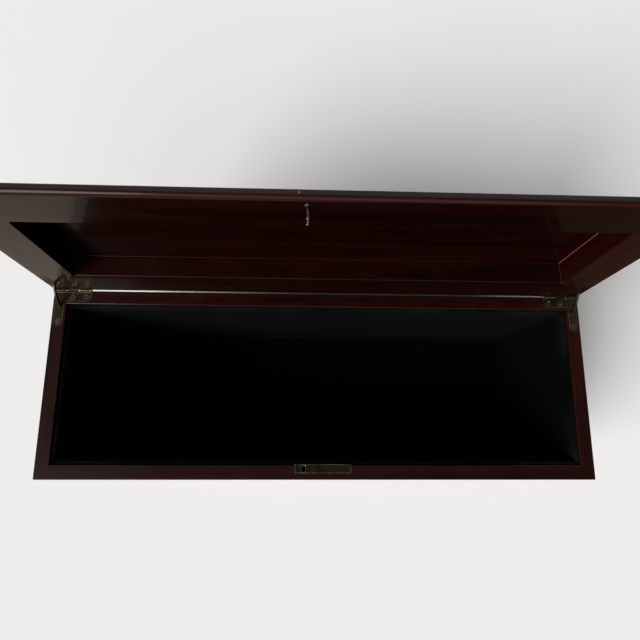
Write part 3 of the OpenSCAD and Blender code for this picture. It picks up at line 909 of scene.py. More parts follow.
# Painted shade: a darker, redder copy of the leaf brass, for the lid's leaves and their screws.
SHADED_LID_LEAF_BRASS = OldMetal("shaded_lid_leaf_brass", "antique_brass", (0.026, 0.013, 0.008, 1),
                          (0.012, 0.006, 0.004, 1), (0.24, 0.15, 0.09, 1), roughness=0.36)
SCREW_BRASS = OldMetal("screw_brass", "antique_brass", (0.075, 0.056, 0.034, 1), (0.026, 0.019, 0.011, 1),
                       (0.30, 0.25, 0.17, 1), roughness=0.30)
STAY_BRONZE = OldMetal("stay_bronze", "antique_brass", (0.035, 0.027, 0.019, 1), (0.012, 0.009, 0.007, 1),
                       (0.12, 0.10, 0.07, 1), roughness=0.38)
LOCK_STEEL = OldMetal("lock_steel", "steel", (0.10, 0.095, 0.09, 1), (0.035, 0.031, 0.028, 1),
                      (0.30, 0.29, 0.28, 1), roughness=0.38)


class Palette:
    """Builds each finish once and puts it on pieces."""

    def __init__(self) -> None:
        """Starts with nothing built."""
        self.made: dict[object, bpy.types.Material] = {}

    def dress(self, piece: bpy.types.Object, finish: object) -> None:
        """Gives a piece its finish.

        Args:
            piece: the object to dress.
            finish: a finish that can build its material.
        """
        if finish not in self.made:
            self.made[finish] = finish.build()
        piece.data.materials.clear()
        piece.data.materials.append(self.made[finish])


# ---------- mitred frames ----------


class Side(Enum):
    """Sides of a mitred frame, by the angle in degrees of the corner where each one starts."""

    FRONT = 225
    RIGHT = 315
    REAR = 45
    LEFT = 135

    @property
    def word(self) -> str:
        """The side's name in small letters."""
        return self.name.lower()


@dataclass(frozen=True)
class Plan:
    """Outer rectangle in plan, centred on the frame's middle, with rounded upright corners."""

    half_length: float
    half_depth: float
    steps: int = 5

    def mitred(self, side: Side, profile: np.ndarray) -> Skin:
        """One side of a frame, from mitre to mitre.

        A profile point goes round each half corner on its own arc: the arc's centre lies inset + radius in
        from both faces, and the point stands off it by the radius at the angle of its column.

        Args:
            side: which side.
            profile: rows of inset from the ends, from the front, from the rear, height and corner radius, in
                order round the section.

        Returns:
            The closed solid.
        """
        half = np.linspace(0, 45, self.steps)
        corner = np.radians(np.repeat([side.value, side.value + 90], self.steps))
        angle = np.radians(np.concatenate([side.value + half, side.value + 45 + half]))[:, None]
        sign_x, sign_y = np.sign(np.cos(corner))[:, None], np.sign(np.sin(corner))[:, None]
        inset_y = np.where(sign_y < 0, profile[:, 1], profile[:, 2])
        radius = profile[:, 4]
        x = sign_x * (self.half_length - profile[:, 0] - radius) + radius * np.cos(angle)
        y = sign_y * (self.half_depth - inset_y - radius) + radius * np.sin(angle)
        return skin(np.stack([x, y, np.broadcast_to(profile[:, 3], x.shape)], axis=-1))


@dataclass
class HingeRoom:
    """What one hinge takes out of the wood around it, with sizes as on the hinge.

    Front and rear of the stay's slot and pocket are counted from the stay's mouth.
    """

    right: bool
    leaf_inset: float = 1.6 * MM
    arm: float = 8 * MM
    rear_arm: float = 9.6 * MM
    reach: float = 32 * MM
    length: float = 33 * MM
    corner: float = 3 * MM
    inner_corner: float = 0.4 * MM
    leaf: float = 1.5 * MM
    seam: float = 0.09 * MM
    past: float = 3 * MM
    barrel_room: float = 2.4 * MM
    barrel_from: float = 1.6 * MM
    barrel_end_room: float = 0.4 * MM
    stay_inset: float = 6.2 * MM
    stay_reach: float = 14.5 * MM
    lap: float = 0.1 * MM
    slot_half: float = 1.15 * MM
    slot_front: float = 4.9 * MM
    slot_rear: float = 9.8 * MM
    slot_depth: float = 25.8 * MM
    pocket_half: float = 2.2 * MM
    pocket_front: float = 2.5 * MM
    pocket_rear: float = 3 * MM
    pocket_height: float = 4 * MM

    @property
    def stay_mouth(self) -> float:
        """Distance of the stay's mouth from the hinge side."""
        return self.stay_reach - (HINGE_LINE[1] - HALF_DEPTH)

    def placed(self, outline: np.ndarray) -> np.ndarray:
        """Turns distances from the end face and from the hinge side into X and Y."""
        x = outline[:, 0] - HALF_LENGTH
        return np.column_stack([-x if self.right else x, HALF_DEPTH - outline[:, 1]])

    def leaf_outline(self) -> np.ndarray:
        """The leaf's L shape, grown by the seam and run out past the hinge side.

        Returns:
            Its outline in X and Y.
        """
        left, right = self.leaf_inset - self.seam, self.length + self.seam
        inner = self.leaf_inset + self.arm + self.seam
        front, low = self.rear_arm + self.seam, self.reach + self.seam
        half_arm = (inner - left) / 2 - 0.01 * MM
        points = [(left, -self.past), (right, -self.past), (right, front), (inner, front), (inner, low),
                  (left, low)]
        return self.placed(rounded(points, [0, 0, self.corner, self.inner_corner, half_arm, half_arm], 10))

    def block(self, half_width: float, front: float, rear: float, low: float, high: float) -> Skin:
        """A box about the stay, between two distances from the hinge side.

        Args:
            half_width: half its size along X.
            front: distance of its front from the hinge side.
            rear: distance of its rear from the hinge side.
            low: its lower height.
            high: its upper height.

        Returns:
            The closed solid.
        """
        left, right = self.stay_inset - half_width, self.stay_inset + half_width
        corners = np.array([(left, front), (right, front), (right, rear), (left, rear)])
        return prism(self.placed(corners), low, high)

    def barrel(self) -> Skin:
        """A round channel about the hinge line.

        Returns:
            The closed solid.
        """
        section = circle((HINGE_LINE[1], HINGE_LINE[2]), self.barrel_room)
        ends = self.placed(np.array([(self.barrel_from, 0), (self.length + self.barrel_end_room, 0)]))[:, 0]
        return prism(section, min(ends), max(ends), axis=0)

    def case_rooms(self) -> list[Skin]:
        """Rooms in the case: the leaf's, the barrel's and the stay's.

        Returns:
            The closed solids.
        """
        slot = self.block(self.slot_half, self.stay_mouth + self.slot_front, self.stay_mouth - self.slot_rear,
                          RIM - self.slot_depth, RIM - self.leaf + self.lap)
        return [prism(self.leaf_outline(), RIM - self.leaf, RIM + self.past), self.barrel(), slot]

    def lid_rooms(self) -> list[Skin]:
        """Rooms in the shut lid: the leaf's, the barrel's and the stay rivet's.

        Returns:
            The closed solids.
        """
        pocket = self.block(self.pocket_half, self.stay_mouth + self.pocket_front,
                            self.stay_mouth - self.pocket_rear, LID_FACE + self.leaf - self.lap,
                            LID_FACE + self.pocket_height)
        return [prism(self.leaf_outline(), LID_FACE - self.past, LID_FACE + self.leaf), self.barrel(), pocket]


# ---------- sub-assemblies ----------


@dataclass
class Case:
    """Four mitred walls with rounded edges, cut for the hinges and the lock, and the bottom panel."""

    palette: Palette
    wall: float = 12 * MM
    outer_arris: float = 0.5 * MM
    inner_arris: float = 0.6 * MM
    foot_arris: float = 0.5 * MM
    corner: float = 1.0 * MM
    plate_seam: float = 0.05 * MM
    plate_corner: float = 0.8 * MM
    key_radius: float = 2.6 * MM
    key_slot: float = 1.3 * MM
    key_drop: float = 8 * MM
    key_bite: float = 0.5 * MM
    lock_lap: float = 0.05 * MM
    escutcheon_taper: float = 1.5 * MM
    past: float = 1 * MM
    pieces: list[bpy.types.Object] = field(default_factory=list)

    def profile(self) -> np.ndarray:
        """Section of a wall from its outer foot: three equal insets, height and corner radius.

        Returns:
            One row for each point round the section.
        """
        low, high = span("front_wall")[0][2], span("front_wall")[1][2]
        corners = [(0, low), (0, high), (self.wall, high), (self.wall, low)]
        line = rounded(corners, [self.foot_arris, self.outer_arris, self.inner_arris, 0])
        return np.column_stack([line[:, [0, 0, 0, 1]], np.maximum(self.corner - line[:, 0], 0)])

    def lock_rooms(self) -> list[Skin]:
        """Rooms in the front wall: plate, lock case, key passage and escutcheon.

        Returns:
            The closed solids.
        """
        low, high = span("lock_plate")
        x0, y0 = low[:2] - self.plate_seam
        x1, y1 = high[:2] + self.plate_seam
        plate = rounded([(x0, y0), (x1, y0), (x1, y1), (x0, y1)], [self.plate_corner] * 4)
        case_low, case_high = span("lock_case")
        rear = case_high[1] + self.past
        box = [(case_low[0], case_low[1]), (case_high[0], case_low[1]), (case_high[0], rear),
               (case_low[0], rear)]
        key_x, key_z = sum(span("lock_key_post"))[[0, 2]] / 2
        face = span("front_wall")[0][1]
        hole = arc((key_x, key_z), self.key_radius, -60, 240, 30)
        foot = key_z - self.key_drop
        slot = [(key_x - self.key_slot, foot), (key_x + self.key_slot, foot)]
        return [
            prism(plate, low[2], high[2] + self.past),
            prism(np.array(box), case_low[2], low[2] + self.lock_lap),
            prism(np.concatenate([hole, slot]), face - self.past, case_low[1] + self.key_bite, axis=1),
            prism(self.escutcheon_outline(), face - self.past, span("keyhole_escutcheon")[1][1], axis=1),
        ]

    def escutcheon_outline(self) -> np.ndarray:
        """Two circles one above the other with their outer tangents, a seam wider than the plate.

        Returns:
            The outline in X and Z.
        """
        low, high = span("keyhole_escutcheon")
        upper = (high[0] - low[0]) / 2 + self.plate_seam
        lower = upper - self.escutcheon_taper
        x, top, bottom = (low[0] + high[0]) / 2, high[2] - upper, low[2] + lower
        lean = math.degrees(math.asin((upper - lower) / (top - bottom)))
        crown = arc((x, top), upper, -lean, 180 + lean, 40)
        return np.concatenate([crown, arc((x, bottom), lower, 180 + lean, 360 - lean, 32)])

    def build(self) -> None:
        """Builds the walls and replaces their nodes."""
        plan, profile = Plan(HALF_LENGTH, HALF_DEPTH), self.profile()
        left, right = HingeRoom(False).case_rooms(), HingeRoom(True).case_rooms()
        rooms = {Side.FRONT: self.lock_rooms(), Side.REAR: left + right, Side.LEFT: left, Side.RIGHT: right}
        for side in Side:
            wall = make_object(f"case_{side.word}_board", plan.mitred(side, profile))
            cut(wall, rooms[side])
            even_light(wall)
            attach(wall, "case")
            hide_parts(f"{side.word}_wall")
            self.pieces.append(wall)
            LOG.info("built %s", wall.name)

    def dress(self) -> None:
        """Lacquers the walls along their length, and the bottom panel."""
        for wall in self.pieces:
            short = "left" in wall.name or "right" in wall.name
            self.palette.dress(wall, self.wood(Run.CASE_SHORT if short else Run.CASE_LONG))
        self.palette.dress(frame["nodes"]["bottom_panel"], self.wood(Run.CASE_LONG))

    @staticmethod
    def wood(run: Run) -> LacqueredWood:
        """The case's wood, a little redder than the lid's."""
        return LacqueredWood(run, "wall", (0.0056, 0.0009, 0.0005, 1), (0.0170, 0.0021, 0.0010, 1),
                             gloss=0.46)


@dataclass
class Lid:
    """Four mitred rails round a deep recess, and the raised panel behind it."""

    palette: Palette
    side_border: float = 33 * MM
    front_border: float = 36.5 * MM
    rear_border: float = 34.5 * MM
    drawn_border: float = 35 * MM
    edge: float = 6.4 * MM
    height: float = 23 * MM
    recess: float = 18.5 * MM
    seat: float = 0.85
    corner: float = 1.0 * MM
    inner_corner: float = 1.4 * MM
    face_arris: float = 3.2 * MM
    arris_share: tuple[float, float, float] = (0.35, 1.0, 0.1)
    recess_arris: float = 1.3 * MM
    fillet: float = 0.6 * MM
    back_arris: float = 0.9 * MM
    seat_arris: float = 0.25 * MM
    field_arris: float = 1.4 * MM
    field_reach: float = 1.6
    past: float = 1 * MM
    dull_gloss: float = 0.14
    dull_tone: Colour = (0.0068, 0.0009, 0.0005, 1)
    dull_edge: float = 1.7 * MM
    # Colour and reach of the painted shade over the panel's left end.
    painted_shade_tone: Colour = (0.0006, 0.0006, 0.0005, 1)
    painted_shade_reach: float = 34 * MM
    seam_in_fillet: float = 0.3
    arris_tone: Colour = (0.022, 0.0036, 0.0024, 1)
    arris_wear: float = 2.6 * MM
    arris_inset: float = 0.6 * MM
    arris_rise: float = 0.9 * MM
    chip_from_middle: float = -19.5 * MM
    chip_from_face: float = 4.3 * MM
    pieces: list[bpy.types.Object] = field(default_factory=list)

    def insets(self, line: np.ndarray) -> np.ndarray:
        """Turns a section drawn for one border into insets for the ends, the front and the rear.

        Each inset is the drawn distance times that border's width over the drawn width. The eased edge of the
        inner face is then pulled towards the outside by each side's share of it.

        Args:
            line: rows of distance from the outer edge and height above the inner face.

        Returns:
            Rows of the three insets and the height.
        """
        borders = np.array([self.side_border, self.front_border, self.rear_border]) / self.drawn_border
        inset = line[:, :1] * borders
        eased = (line < self.face_arris).all(axis=1)[:, None]
        inset = np.where(eased, inset * np.array(self.arris_share), inset)
        return np.column_stack([inset, line[:, 1] + LID_FACE])

    def slope_height(self, share: float) -> float:
        """Height of the bevelled outside at a share of the border."""
        return self.edge + (self.height - self.edge) * share

    def rail_profile(self) -> np.ndarray:
        """Section of a rail from its thin outer edge.

        Returns:
            Rows of the insets from the ends, the front and the rear, the height and the corner radius.
        """
        width, seat = self.drawn_border, self.drawn_border * self.seat
        corners = [(0, 0), (width, 0), (width, self.recess), (width + self.fillet, self.recess),
                   (seat, self.recess), (seat, self.slope_height(self.seat)), (0, self.edge)]
        radii = [self.face_arris, self.recess_arris, self.fillet, 0, 0, self.seat_arris, self.back_arris]
        line = rounded(corners, radii)
        inner = line[:, 0] > width - 1.01 * self.recess_arris
        centre = np.where(inner, width + self.inner_corner, self.corner)
        return np.column_stack([self.insets(line), np.maximum(centre - line[:, 0], 0)])

    def panel(self, plan: Plan) -> Skin:
        """The raised panel: rectangles one above another, from its inner face over the bevel to its flat top.

        The section is drawn closed, in to the field's reach, and its two innermost corners are then left out.

        Args:
            plan: the lid's outer rectangle.

        Returns:
            The closed solid.
        """
        width, seat = self.drawn_border, self.drawn_border * self.seat
        inner = width * self.field_reach
        corners = [(seat, self.recess), (seat, self.slope_height(self.seat)), (width, self.height),
                   (inner, self.height), (inner, self.recess)]
        line = rounded(corners, [0, self.seat_arris, self.field_arris, 0, 0])
        line = line[line[:, 0] < (width + inner) / 2]
        inset = self.insets(line)
        sign_x, sign_y = np.array([-1, 1, 1, -1]), np.array([-1, -1, 1, 1])
        x = sign_x * (plan.half_length - inset[:, :1])
        y = sign_y * (plan.half_depth - np.where(sign_y < 0, inset[:, 1:2], inset[:, 2:3]))
        return skin(np.stack([x, y, np.broadcast_to(inset[:, 3:], x.shape)], axis=-1))

    def catch_rooms(self) -> list[Skin]:
        """Rooms for the catch pin's shank and collar in the front rail, with the lid shut.

        Returns:
            The closed solids.
        """
        pin = CatchPin(self.palette)
        wide, narrow = circle(pin.centre, pin.collar), circle(pin.centre, pin.radius, 24)
        return [prism(wide, LID_FACE - self.past, LID_FACE + pin.collar_depth),
                prism(narrow, LID_FACE - self.past, LID_FACE + pin.shank)]

    def build(self) -> None:
        """Builds the rails and the panel shut, and turns them open."""
        plan, profile = Plan(HALF_LENGTH, HALF_DEPTH), self.rail_profile()
        left, right = HingeRoom(False).lid_rooms(), HingeRoom(True).lid_rooms()
        rooms = {Side.FRONT: self.catch_rooms(), Side.REAR: left + right, Side.LEFT: left, Side.RIGHT: right}
        for side in Side:
            rail = make_object(f"lid_{side.word}_border", plan.mitred(side, profile))
            cut(rail, rooms[side])
            self.place(rail, f"lid_{side.word}_rail")
        self.place(make_object("lid_raised_field", self.panel(plan)), "lid_panel")

    def place(self, piece: bpy.types.Object, node: str) -> None:
        """Turns a shut piece open and puts it on the lid in a node's stead.

        Args:
            piece: the piece, made with the lid shut.
            node: the CAD node that it stands for.
        """
        flat = np.empty(len(piece.data.vertices) * 3)
        piece.data.vertices.foreach_get("co", flat)
        piece.data.vertices.foreach_set("co", opened(flat.reshape(-1, 3)).ravel())
        piece.data.update()
        even_light(piece)
        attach(piece, "lid")
        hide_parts(node)
        self.pieces.append(piece)
        LOG.info("built %s", piece.name)

    def right_highlight_seams(self) -> tuple[Seam, ...]:
        """Lines where the panel and the rear rail meet the right rail, drawn as painted highlights.

        Returns:
            The seams, with the lid open.
        """
        inset = self.seam_in_fillet * self.fillet
        x, rear = HALF_LENGTH - self.side_border - inset, HALF_DEPTH - self.rear_border
        top = LID_FACE + self.recess - inset
        return opened_line((x, self.front_border - HALF_DEPTH, top), (x, rear, top),
                           (x, rear, LID_FACE + self.recess_arris))

    def rear_seams(self) -> tuple[Seam, ...]:
        """The edges of the rear rail along the recess and along the panel.

        Returns:
            The seams, with the lid open.
        """
        x, rear = HALF_LENGTH - self.side_border, HALF_DEPTH - self.rear_border
        top = LID_FACE + self.recess - self.seam_in_fillet * self.fillet
        lip = opened_line((-x, rear, LID_FACE), (x, rear, LID_FACE))
        return lip + opened_line((-x, rear, top), (x, rear, top))

    def panel_shaded_end(self) -> tuple[Seam, ...]:
        """The end of the panel at the left rail, where shade is painted."""
        x, top = self.side_border - HALF_LENGTH, LID_FACE + self.recess
        return opened_line((x, self.front_border - HALF_DEPTH, top), (x, HALF_DEPTH - self.rear_border, top))

    def free_arris(self) -> tuple[Seam, ...]:
        """The arris along the lid's free edge."""
        y, z = self.arris_inset - HALF_DEPTH, LID_FACE + self.arris_rise
        return opened_line((-HALF_LENGTH, y, z), (HALF_LENGTH, y, z))

    def front_wood(self) -> LacqueredWood:
        """The front rail's wood, with a lighter red band along its free arris and its chip.

        Returns:
            The finish.
        """
        place = np.array([self.chip_from_middle, -HALF_DEPTH, LID_FACE + self.chip_from_face])
        chips = (tuple(opened(place).tolist()),)
        return LacqueredWood(Run.LID_LONG, "front_rail", worn=self.arris_tone, chips=chips,
                             seams=self.free_arris(), seam_radius=self.arris_wear, seam_core=0.3)

    def lit_right_wood(self) -> LacqueredWood:
        """The right rail's wood, painted redder and brighter than the other rails as painted light, with
        painted highlights along its seams.
        """
        # Painted light: the redder tones stand for the light on the right rail, and its seams take the pale
        # red seam colour as highlights.
        return LacqueredWood(Run.LID_SHORT, "right_rail", (0.0075, 0.0011, 0.0006, 1),
                             (0.0200, 0.0022, 0.0012, 1), seams=self.right_highlight_seams())

    def rear_wood(self) -> LacqueredWood:
        """The duller wood of the rear rail, dullest along its edges."""
        return LacqueredWood(Run.LID_LONG, "rear_rail", worn=self.dull_tone, gloss=self.dull_gloss,
                             seams=self.rear_seams(), seam_radius=self.dull_edge, seam_core=0.75,
                             seam_dulling=0.75)

    def panel_wood(self) -> LacqueredWood:
        """The duller wood of the panel, with painted shade, dark and thick, over its left end."""
        return LacqueredWood(Run.LID_LONG, "panel", worn=self.painted_shade_tone, gloss=self.dull_gloss,
                             seams=self.panel_shaded_end(), seam_radius=self.painted_shade_reach, seam_core=0.3,
                             seam_dulling=0.75)

    def dress(self) -> None:
        """Lacquers the rails along their length and the panel along the lid."""
        woods = {"lid_front_border": self.front_wood(), "lid_right_border": self.lit_right_wood(),
                 "lid_rear_border": self.rear_wood(), "lid_left_border": LacqueredWood(Run.LID_SHORT),
                 "lid_raised_field": self.panel_wood()}
        for piece in self.pieces:
            self.palette.dress(piece, woods[piece.name])


@dataclass(frozen=True)
class Board:
    """A thin board under cloth: its back lies flat, its face swells a little and rolls over at the edges."""

    origin: tuple[float, float, float]
    along: tuple[float, float, float]
    across: tuple[float, float, float]
    out: tuple[float, float, float]
    length: float
    width: float
    thickness: float
    roll: float = 1.1 * MM
    swell: float = 0.25 * MM
    ripple: float = 0.10 * MM

    def stops(self, size: float) -> np.ndarray:
        """Sample places from edge to edge, close together where the cloth rolls over.

        Args:
            size: length of the side that is sampled.

        Returns:
            Distances from the first edge.
        """
        edge = self.roll * (1 - np.cos(np.radians(np.linspace(0, 90, 6))))
        middle = np.linspace(edge[-1], size - edge[-1], max(8, round(size / (6 * MM))))
        return np.concatenate([edge[:-1], middle, size - edge[-2::-1]])

    def drop(self, place: np.ndarray, size: float) -> np.ndarray:
        """How far the face has rolled down: a quarter circle within the roll radius of an edge."""
        near = np.maximum(self.roll - np.minimum(place, size - place), 0)
        return self.roll - np.sqrt(np.maximum(self.roll**2 - near**2, 0))

    def surface(self) -> Skin:
        """The board's skin.

        The face stands off the back by the thickness, less the roll at both pairs of edges, plus a swell:
        the square root of two sine arches, times a constant with a slow ripple of crossed sines. The rim then
        runs straight to the back.

        Returns:
            The closed solid.
        """
        a, b = np.meshgrid(self.stops(self.length), self.stops(self.width), indexing="ij")
        arch = np.sin(np.pi * a / self.length) * np.sin(np.pi * b / self.width)
        wave = np.sin(a * 61 + 2.1 * np.sin(b * 23)) * np.sin(b * 74 + 1.7 * np.sin(a * 19) + 0.8)
        lift = np.sqrt(np.maximum(arch, 0)) * (self.swell + self.ripple * wave)
        w = self.thickness - self.drop(a, self.length) - self.drop(b, self.width) + lift
        a, b, w = np.pad(a, 1, mode="edge"), np.pad(b, 1, mode="edge"), np.pad(w, 1)
        axes = [np.array(v, float) for v in (self.along, self.across, self.out)]
        grid = np.array(self.origin) + a[..., None] * axes[0] + b[..., None] * axes[1]
        grid = grid + w[..., None] * axes[2]
        places, faces = skin(grid, closed=False, caps=False)
        index = np.arange(a.size).reshape(a.shape)
        rim = np.concatenate([index[0, :-1], index[:-1, -1], index[-1, :0:-1], index[:0:-1, 0]])
        return places, faces + [rim.tolist()]


@dataclass
class Lining:
    """Velvet boards on the walls and the floor, and the felt under the base."""

    palette: Palette
    pieces: dict[str, bpy.types.Object] = field(default_factory=dict)

    def boards(self) -> dict[str, Board]:
        """Each board from its node's own box, its back against the wood.

        Returns:
            Node name to board.
        """
        made = {}
        faces = {"lining_front": (1, 1, 0, 2), "lining_rear": (1, -1, 0, 2), "lining_left": (0, 1, 1, 2),
                 "lining_right": (0, -1, 1, 2), "lining_floor": (2, 1, 0, 1), "base_felt": (2, -1, 0, 1)}
        unit = np.eye(3)
        for node, (normal, sign, along, across) in faces.items():
            low, high = span(node)
            size = high - low
            origin = low.copy()
            origin[normal] = low[normal] if sign > 0 else high[normal]
            soft = {} if node != "base_felt" else {"roll": 0.5 * MM, "swell": 0.0, "ripple": 0.0}
            made[node] = Board(tuple(origin), tuple(unit[along]), tuple(unit[across]),
                               tuple(sign * unit[normal]), size[along], size[across], size[normal], **soft)
        return made

    def build(self) -> None:
        """Builds the boards and replaces their nodes."""
        for node, board in self.boards().items():
            word = "base_felt_sheet" if node == "base_felt" else f"velvet_{node.split('_')[1]}"
            piece = make_object(word, board.surface())
            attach(piece, "case")
            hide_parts(node)
            self.pieces[node] = piece
            LOG.info("built %s", word)

    def dress(self) -> None:
        """Velvet inside, felt below."""
        for node, piece in self.pieces.items():
            felt = node == "base_felt"
            self.palette.dress(piece, Felt() if felt else Velvet())


@dataclass
class CatchPin:
    """The turned pin on the lid that the bolt takes by its neck, and the collar at its foot."""

    palette: Palette
    length: float = 12.8 * MM
    radius: float = 1.15 * MM
    neck: float = 0.8 * MM
    neck_from: float = 1.8 * MM
    neck_length: float = 2.4 * MM
    shank: float = 6.5 * MM
    collar: float = 2.4 * MM
    collar_depth: float = 2 * MM
    proud: float = 0.15 * MM
    from_front: float = 9 * MM
    bore_seam: float = 0.01 * MM
    tip_arris: float = 0.4 * MM
    neck_arris: float = 0.12 * MM
    shank_arris: float = 0.1 * MM
    collar_crown: tuple[float, float] = (0.25 * MM, 0.4 * MM)
    pieces: list[bpy.types.Object] = field(default_factory=list)

    @property
    def centre(self) -> tuple[float, float]:
        """X of the pin's own node, and Y of its axis with the lid shut."""
        low, high = span("catch_pin")
        return ((low[0] + high[0]) / 2, self.from_front - HALF_DEPTH)

    def pin_profile(self) -> np.ndarray:
        """Radius and height from the tip up: domed tip, head, neck and shank.

        Returns:
            One row for each point.
        """
        tip, r, neck, top = LID_FACE - self.length, self.radius, self.neck, LID_FACE + self.shank
        low, high = tip + self.neck_from, tip + self.neck_from + self.neck_length
        corners = [(0, tip), (r, tip), (r, low), (neck, low), (neck, high), (r, high), (r, top), (0, top)]
        return rounded(corners, [0, self.tip_arris] + [self.neck_arris] * 4 + [self.shank_arris, 0])

    def collar_profile(self) -> np.ndarray:
        """Closed ring section: bore, crowned face and outside.

        Returns:
            Rows of radius and height, the first one repeated.
        """
        bore, top, foot = self.radius + self.bore_seam, LID_FACE + self.collar_depth, LID_FACE - self.proud
        corners = [(bore, top), (bore, foot), (self.collar, foot), (self.collar, top)]
        ring = rounded(corners, [0, *self.collar_crown, 0])
        return np.concatenate([ring, ring[:1]])

    def build(self) -> None:
        """Turns both on the lathe with the lid shut, and then turns them open."""
        for name, profile in (("catch_pin", self.pin_profile()), ("catch_collar", self.collar_profile())):
            places, faces = lathe(profile, self.centre)
            piece = make_object(f"{name}_turned", (opened(places), faces))
            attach(piece, "lid")
            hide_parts(name)
            self.pieces.append(piece)
            LOG.info("built %s", piece.name)

    def dress(self) -> None:
        """Bright pin brass on both."""
        for piece in self.pieces:
            self.palette.dress(piece, PIN_BRASS)


@dataclass
class Fittings:
    """Hinges, stays and lock: each node's own solid with softened edges and its metal."""

    palette: Palette
    segments: int = 2
    flat_angle: float = math.radians(0.5)
    softened: dict[str, float] = field(default_factory=lambda: {
        "left_case_leaf": 0.20, "right_case_leaf": 0.20, "left_lid_leaf": 0.20, "right_lid_leaf": 0.20,
        "left_hinge_pin": 0.20, "right_hinge_pin": 0.20, "case_leaf_screws": 0.07, "lid_leaf_screws": 0.07,
        "left_stay_rivet": 0.15, "right_stay_rivet": 0.15, "left_stay": 0.22, "right_stay": 0.22,
        "lock_plate": 0.22, "lock_case": 0.12, "lock_key_post": 0.10, "lock_screws": 0.07, "lock_bolt": 0.15,
        "keyhole_escutcheon": 0.25, "escutcheon_pins": 0.15})
    pieces: dict[str, bpy.types.Object] = field(default_factory=dict)

    @staticmethod
    def finish_for(node: str) -> OldMetal:
        """Which metal a fitting is made of, with lit and shaded copies of the leaf brass for some leaves.

        Args:
            node: the fitting's node.

        Returns:
            Its finish.
        """
        if node in ("left_stay", "right_stay"):
            return STAY_BRONZE
        if node in ("lock_case", "lock_key_post", "lock_screws", "lock_bolt"):
            return LOCK_STEEL
        if node in ("left_lid_leaf", "right_lid_leaf", "lid_leaf_screws"):
            return SHADED_LID_LEAF_BRASS
        if "screws" in node or "pins" in node or "rivet" in node:
            return SCREW_BRASS
        if node in ("lock_plate", "keyhole_escutcheon"):
            return PLATE_BRASS
        return LIT_RIGHT_LEAF_BRASS if node == "right_case_leaf" else LEAF_BRASS

    def build(self) -> None:
        """Copies each node's solid, merges it and softens its edges."""
        for node, width in self.softened.items():
            mesh = frame["nodes"][node].data.copy()
            mesh.materials.clear()
            if mesh.has_custom_normals:
                mesh.attributes.remove(mesh.attributes["custom_normal"])
            tidy_mesh(mesh, dissolve=self.flat_angle)
            piece = bpy.data.objects.new(f"{node}_metal", mesh)
            bpy.context.scene.collection.objects.link(piece)
            soft = piece.modifiers.new("softened edges", "BEVEL")
            soft.width, soft.segments, soft.limit_method = width * MM, self.segments, "ANGLE"
            soft.angle_limit = SHARP_ANGLE
            even_light(piece)
            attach(piece, frame["nodes"][node]["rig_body"])
            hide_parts(node)
            self.pieces[node] = piece
            LOG.info("built %s", piece.name)

    def dress(self) -> None:
        """Gives each fitting its metal."""
        for node, piece in self.pieces.items():
            finish = self.finish_for(node)
            self.palette.dress(piece, finish)


# ---------- studio ----------


@dataclass(frozen=True)
class SoftLight:
    """A wide far lamp that lights floor and chest evenly, by its bearing and its height in degrees."""

    name: str
    bearing: float
    height: float
    spread: float
    strength: float
    colour: tuple[float, float, float] = (1.0, 1.0, 1.0)

    def build(self) -> None:
        """Adds the lamp, aimed at the chest."""
        data = bpy.data.lights.new(self.name, "SUN")
        data.angle, data.energy, data.color = math.radians(self.spread), self.strength, self.colour
        lamp = bpy.data.objects.new(self.name, data)
        lamp.rotation_euler = (math.radians(90 - self.height), 0, math.radians(self.bearing))
        bpy.context.scene.collection.objects.link(lamp)


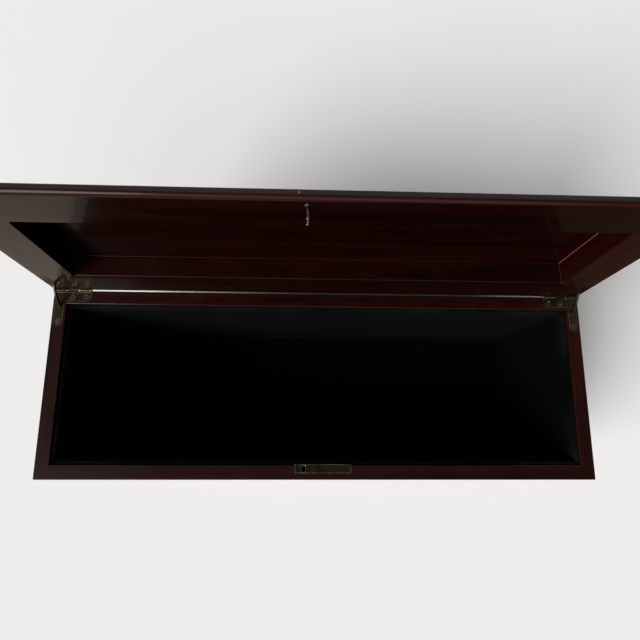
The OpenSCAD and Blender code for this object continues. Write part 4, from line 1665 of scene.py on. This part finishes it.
@dataclass
class Studio:
    """Floor, lamps, surroundings and camera."""

    palette: Palette
    floor_half: float = 12.0
    surround: Colour = (0.024, 0.024, 0.025, 1)
    mirrored: Colour = (0.10, 0.095, 0.09, 1)
    wall_behind: Colour = (1.0, 0.90, 0.86, 1)
    wall_window: tuple[float, float] = (0.15, 0.6)
    backdrop: Colour = (0.86, 0.86, 0.86, 1)
    place: tuple[float, float, float] = (-0.016610, -0.027679, 0.602015)
    pitch: float = 78.469
    yaw: float = 10.557
    roll: float = 11.037
    lens: float = 26.785
    sensor: float = 36.0
    lamps: tuple[SoftLight, ...] = (
        SoftLight("key", -53.0, 38.0, 44.0, 4.4, (1.0, 0.98, 0.955)),
        SoftLight("fill", 8.0, 34.0, 50.0, 0.7, (0.97, 0.985, 1.0)),
    )

    def build_floor(self) -> None:
        """A wide flat floor under the felt."""
        h = self.floor_half
        corners = np.array([(-h, -h, 0), (h, -h, 0), (h, h, 0), (-h, h, 0)])
        floor = make_object("studio_floor", (corners, [[0, 1, 2, 3]]))
        self.palette.dress(floor, PaleFloor())

    def build_surroundings(self) -> None:
        """Dim surroundings with a pale wall behind for the gloss, seen directly as a pale backdrop."""
        world = bpy.data.worlds.new("surroundings")
        bpy.context.scene.world = world
        world.use_nodes = True
        nodes = Nodes(world.node_tree)
        ground = next(n for n in world.node_tree.nodes if n.type == "BACKGROUND")
        path = nodes.add("LightPath")
        rear = nodes.add("SeparateXYZ", {0: nodes.add("TexCoord").outputs["Generated"]}).outputs[1]
        mirror = nodes.blend(nodes.window(rear, *self.wall_window), self.mirrored, self.wall_behind)
        colour = nodes.blend(path.outputs["Is Glossy Ray"], self.surround, mirror)
        nodes.feed(ground.inputs["Color"], nodes.blend(path.outputs["Is Camera Ray"], colour, self.backdrop))
        bpy.context.scene.view_settings.view_transform = "Standard"

    def build_camera(self) -> None:
        """A camera that looks down into the chest, turned by its yaw, pitch and roll."""
        pitch, yaw, roll = (math.radians(a) for a in (self.pitch, self.yaw, self.roll))
        ahead = Vector((math.sin(yaw) * math.cos(pitch), math.cos(yaw) * math.cos(pitch), -math.sin(pitch)))
        level = Vector((math.cos(yaw), -math.sin(yaw), 0))
        upright = level.cross(ahead)
        right = level * math.cos(roll) + upright * math.sin(roll)
        up = upright * math.cos(roll) - level * math.sin(roll)
        data = bpy.data.cameras.new("camera")
        data.lens, data.sensor_width, data.clip_start = self.lens, self.sensor, 0.01
        camera = bpy.data.objects.new("camera", data)
        turn = Matrix((right, up, -ahead)).transposed()
        camera.matrix_world = Matrix.Translation(self.place) @ turn.to_4x4()
        bpy.context.scene.collection.objects.link(camera)
        bpy.context.scene.camera = camera

    def build(self) -> None:
        """Sets up the whole studio."""
        self.build_floor()
        self.build_surroundings()
        self.build_camera()
        for lamp in self.lamps:
            lamp.build()
        LOG.info("built the studio")


def main() -> None:
    """Builds the chest part by part, then the studio."""
    logging.basicConfig(level=logging.INFO, format="%(message)s")
    palette = Palette()
    for part in (Case(palette), Lining(palette), Lid(palette), CatchPin(palette), Fittings(palette)):
        part.build()
        part.dress()
    Studio(palette).build()


if __name__ == "__main__":
    main()
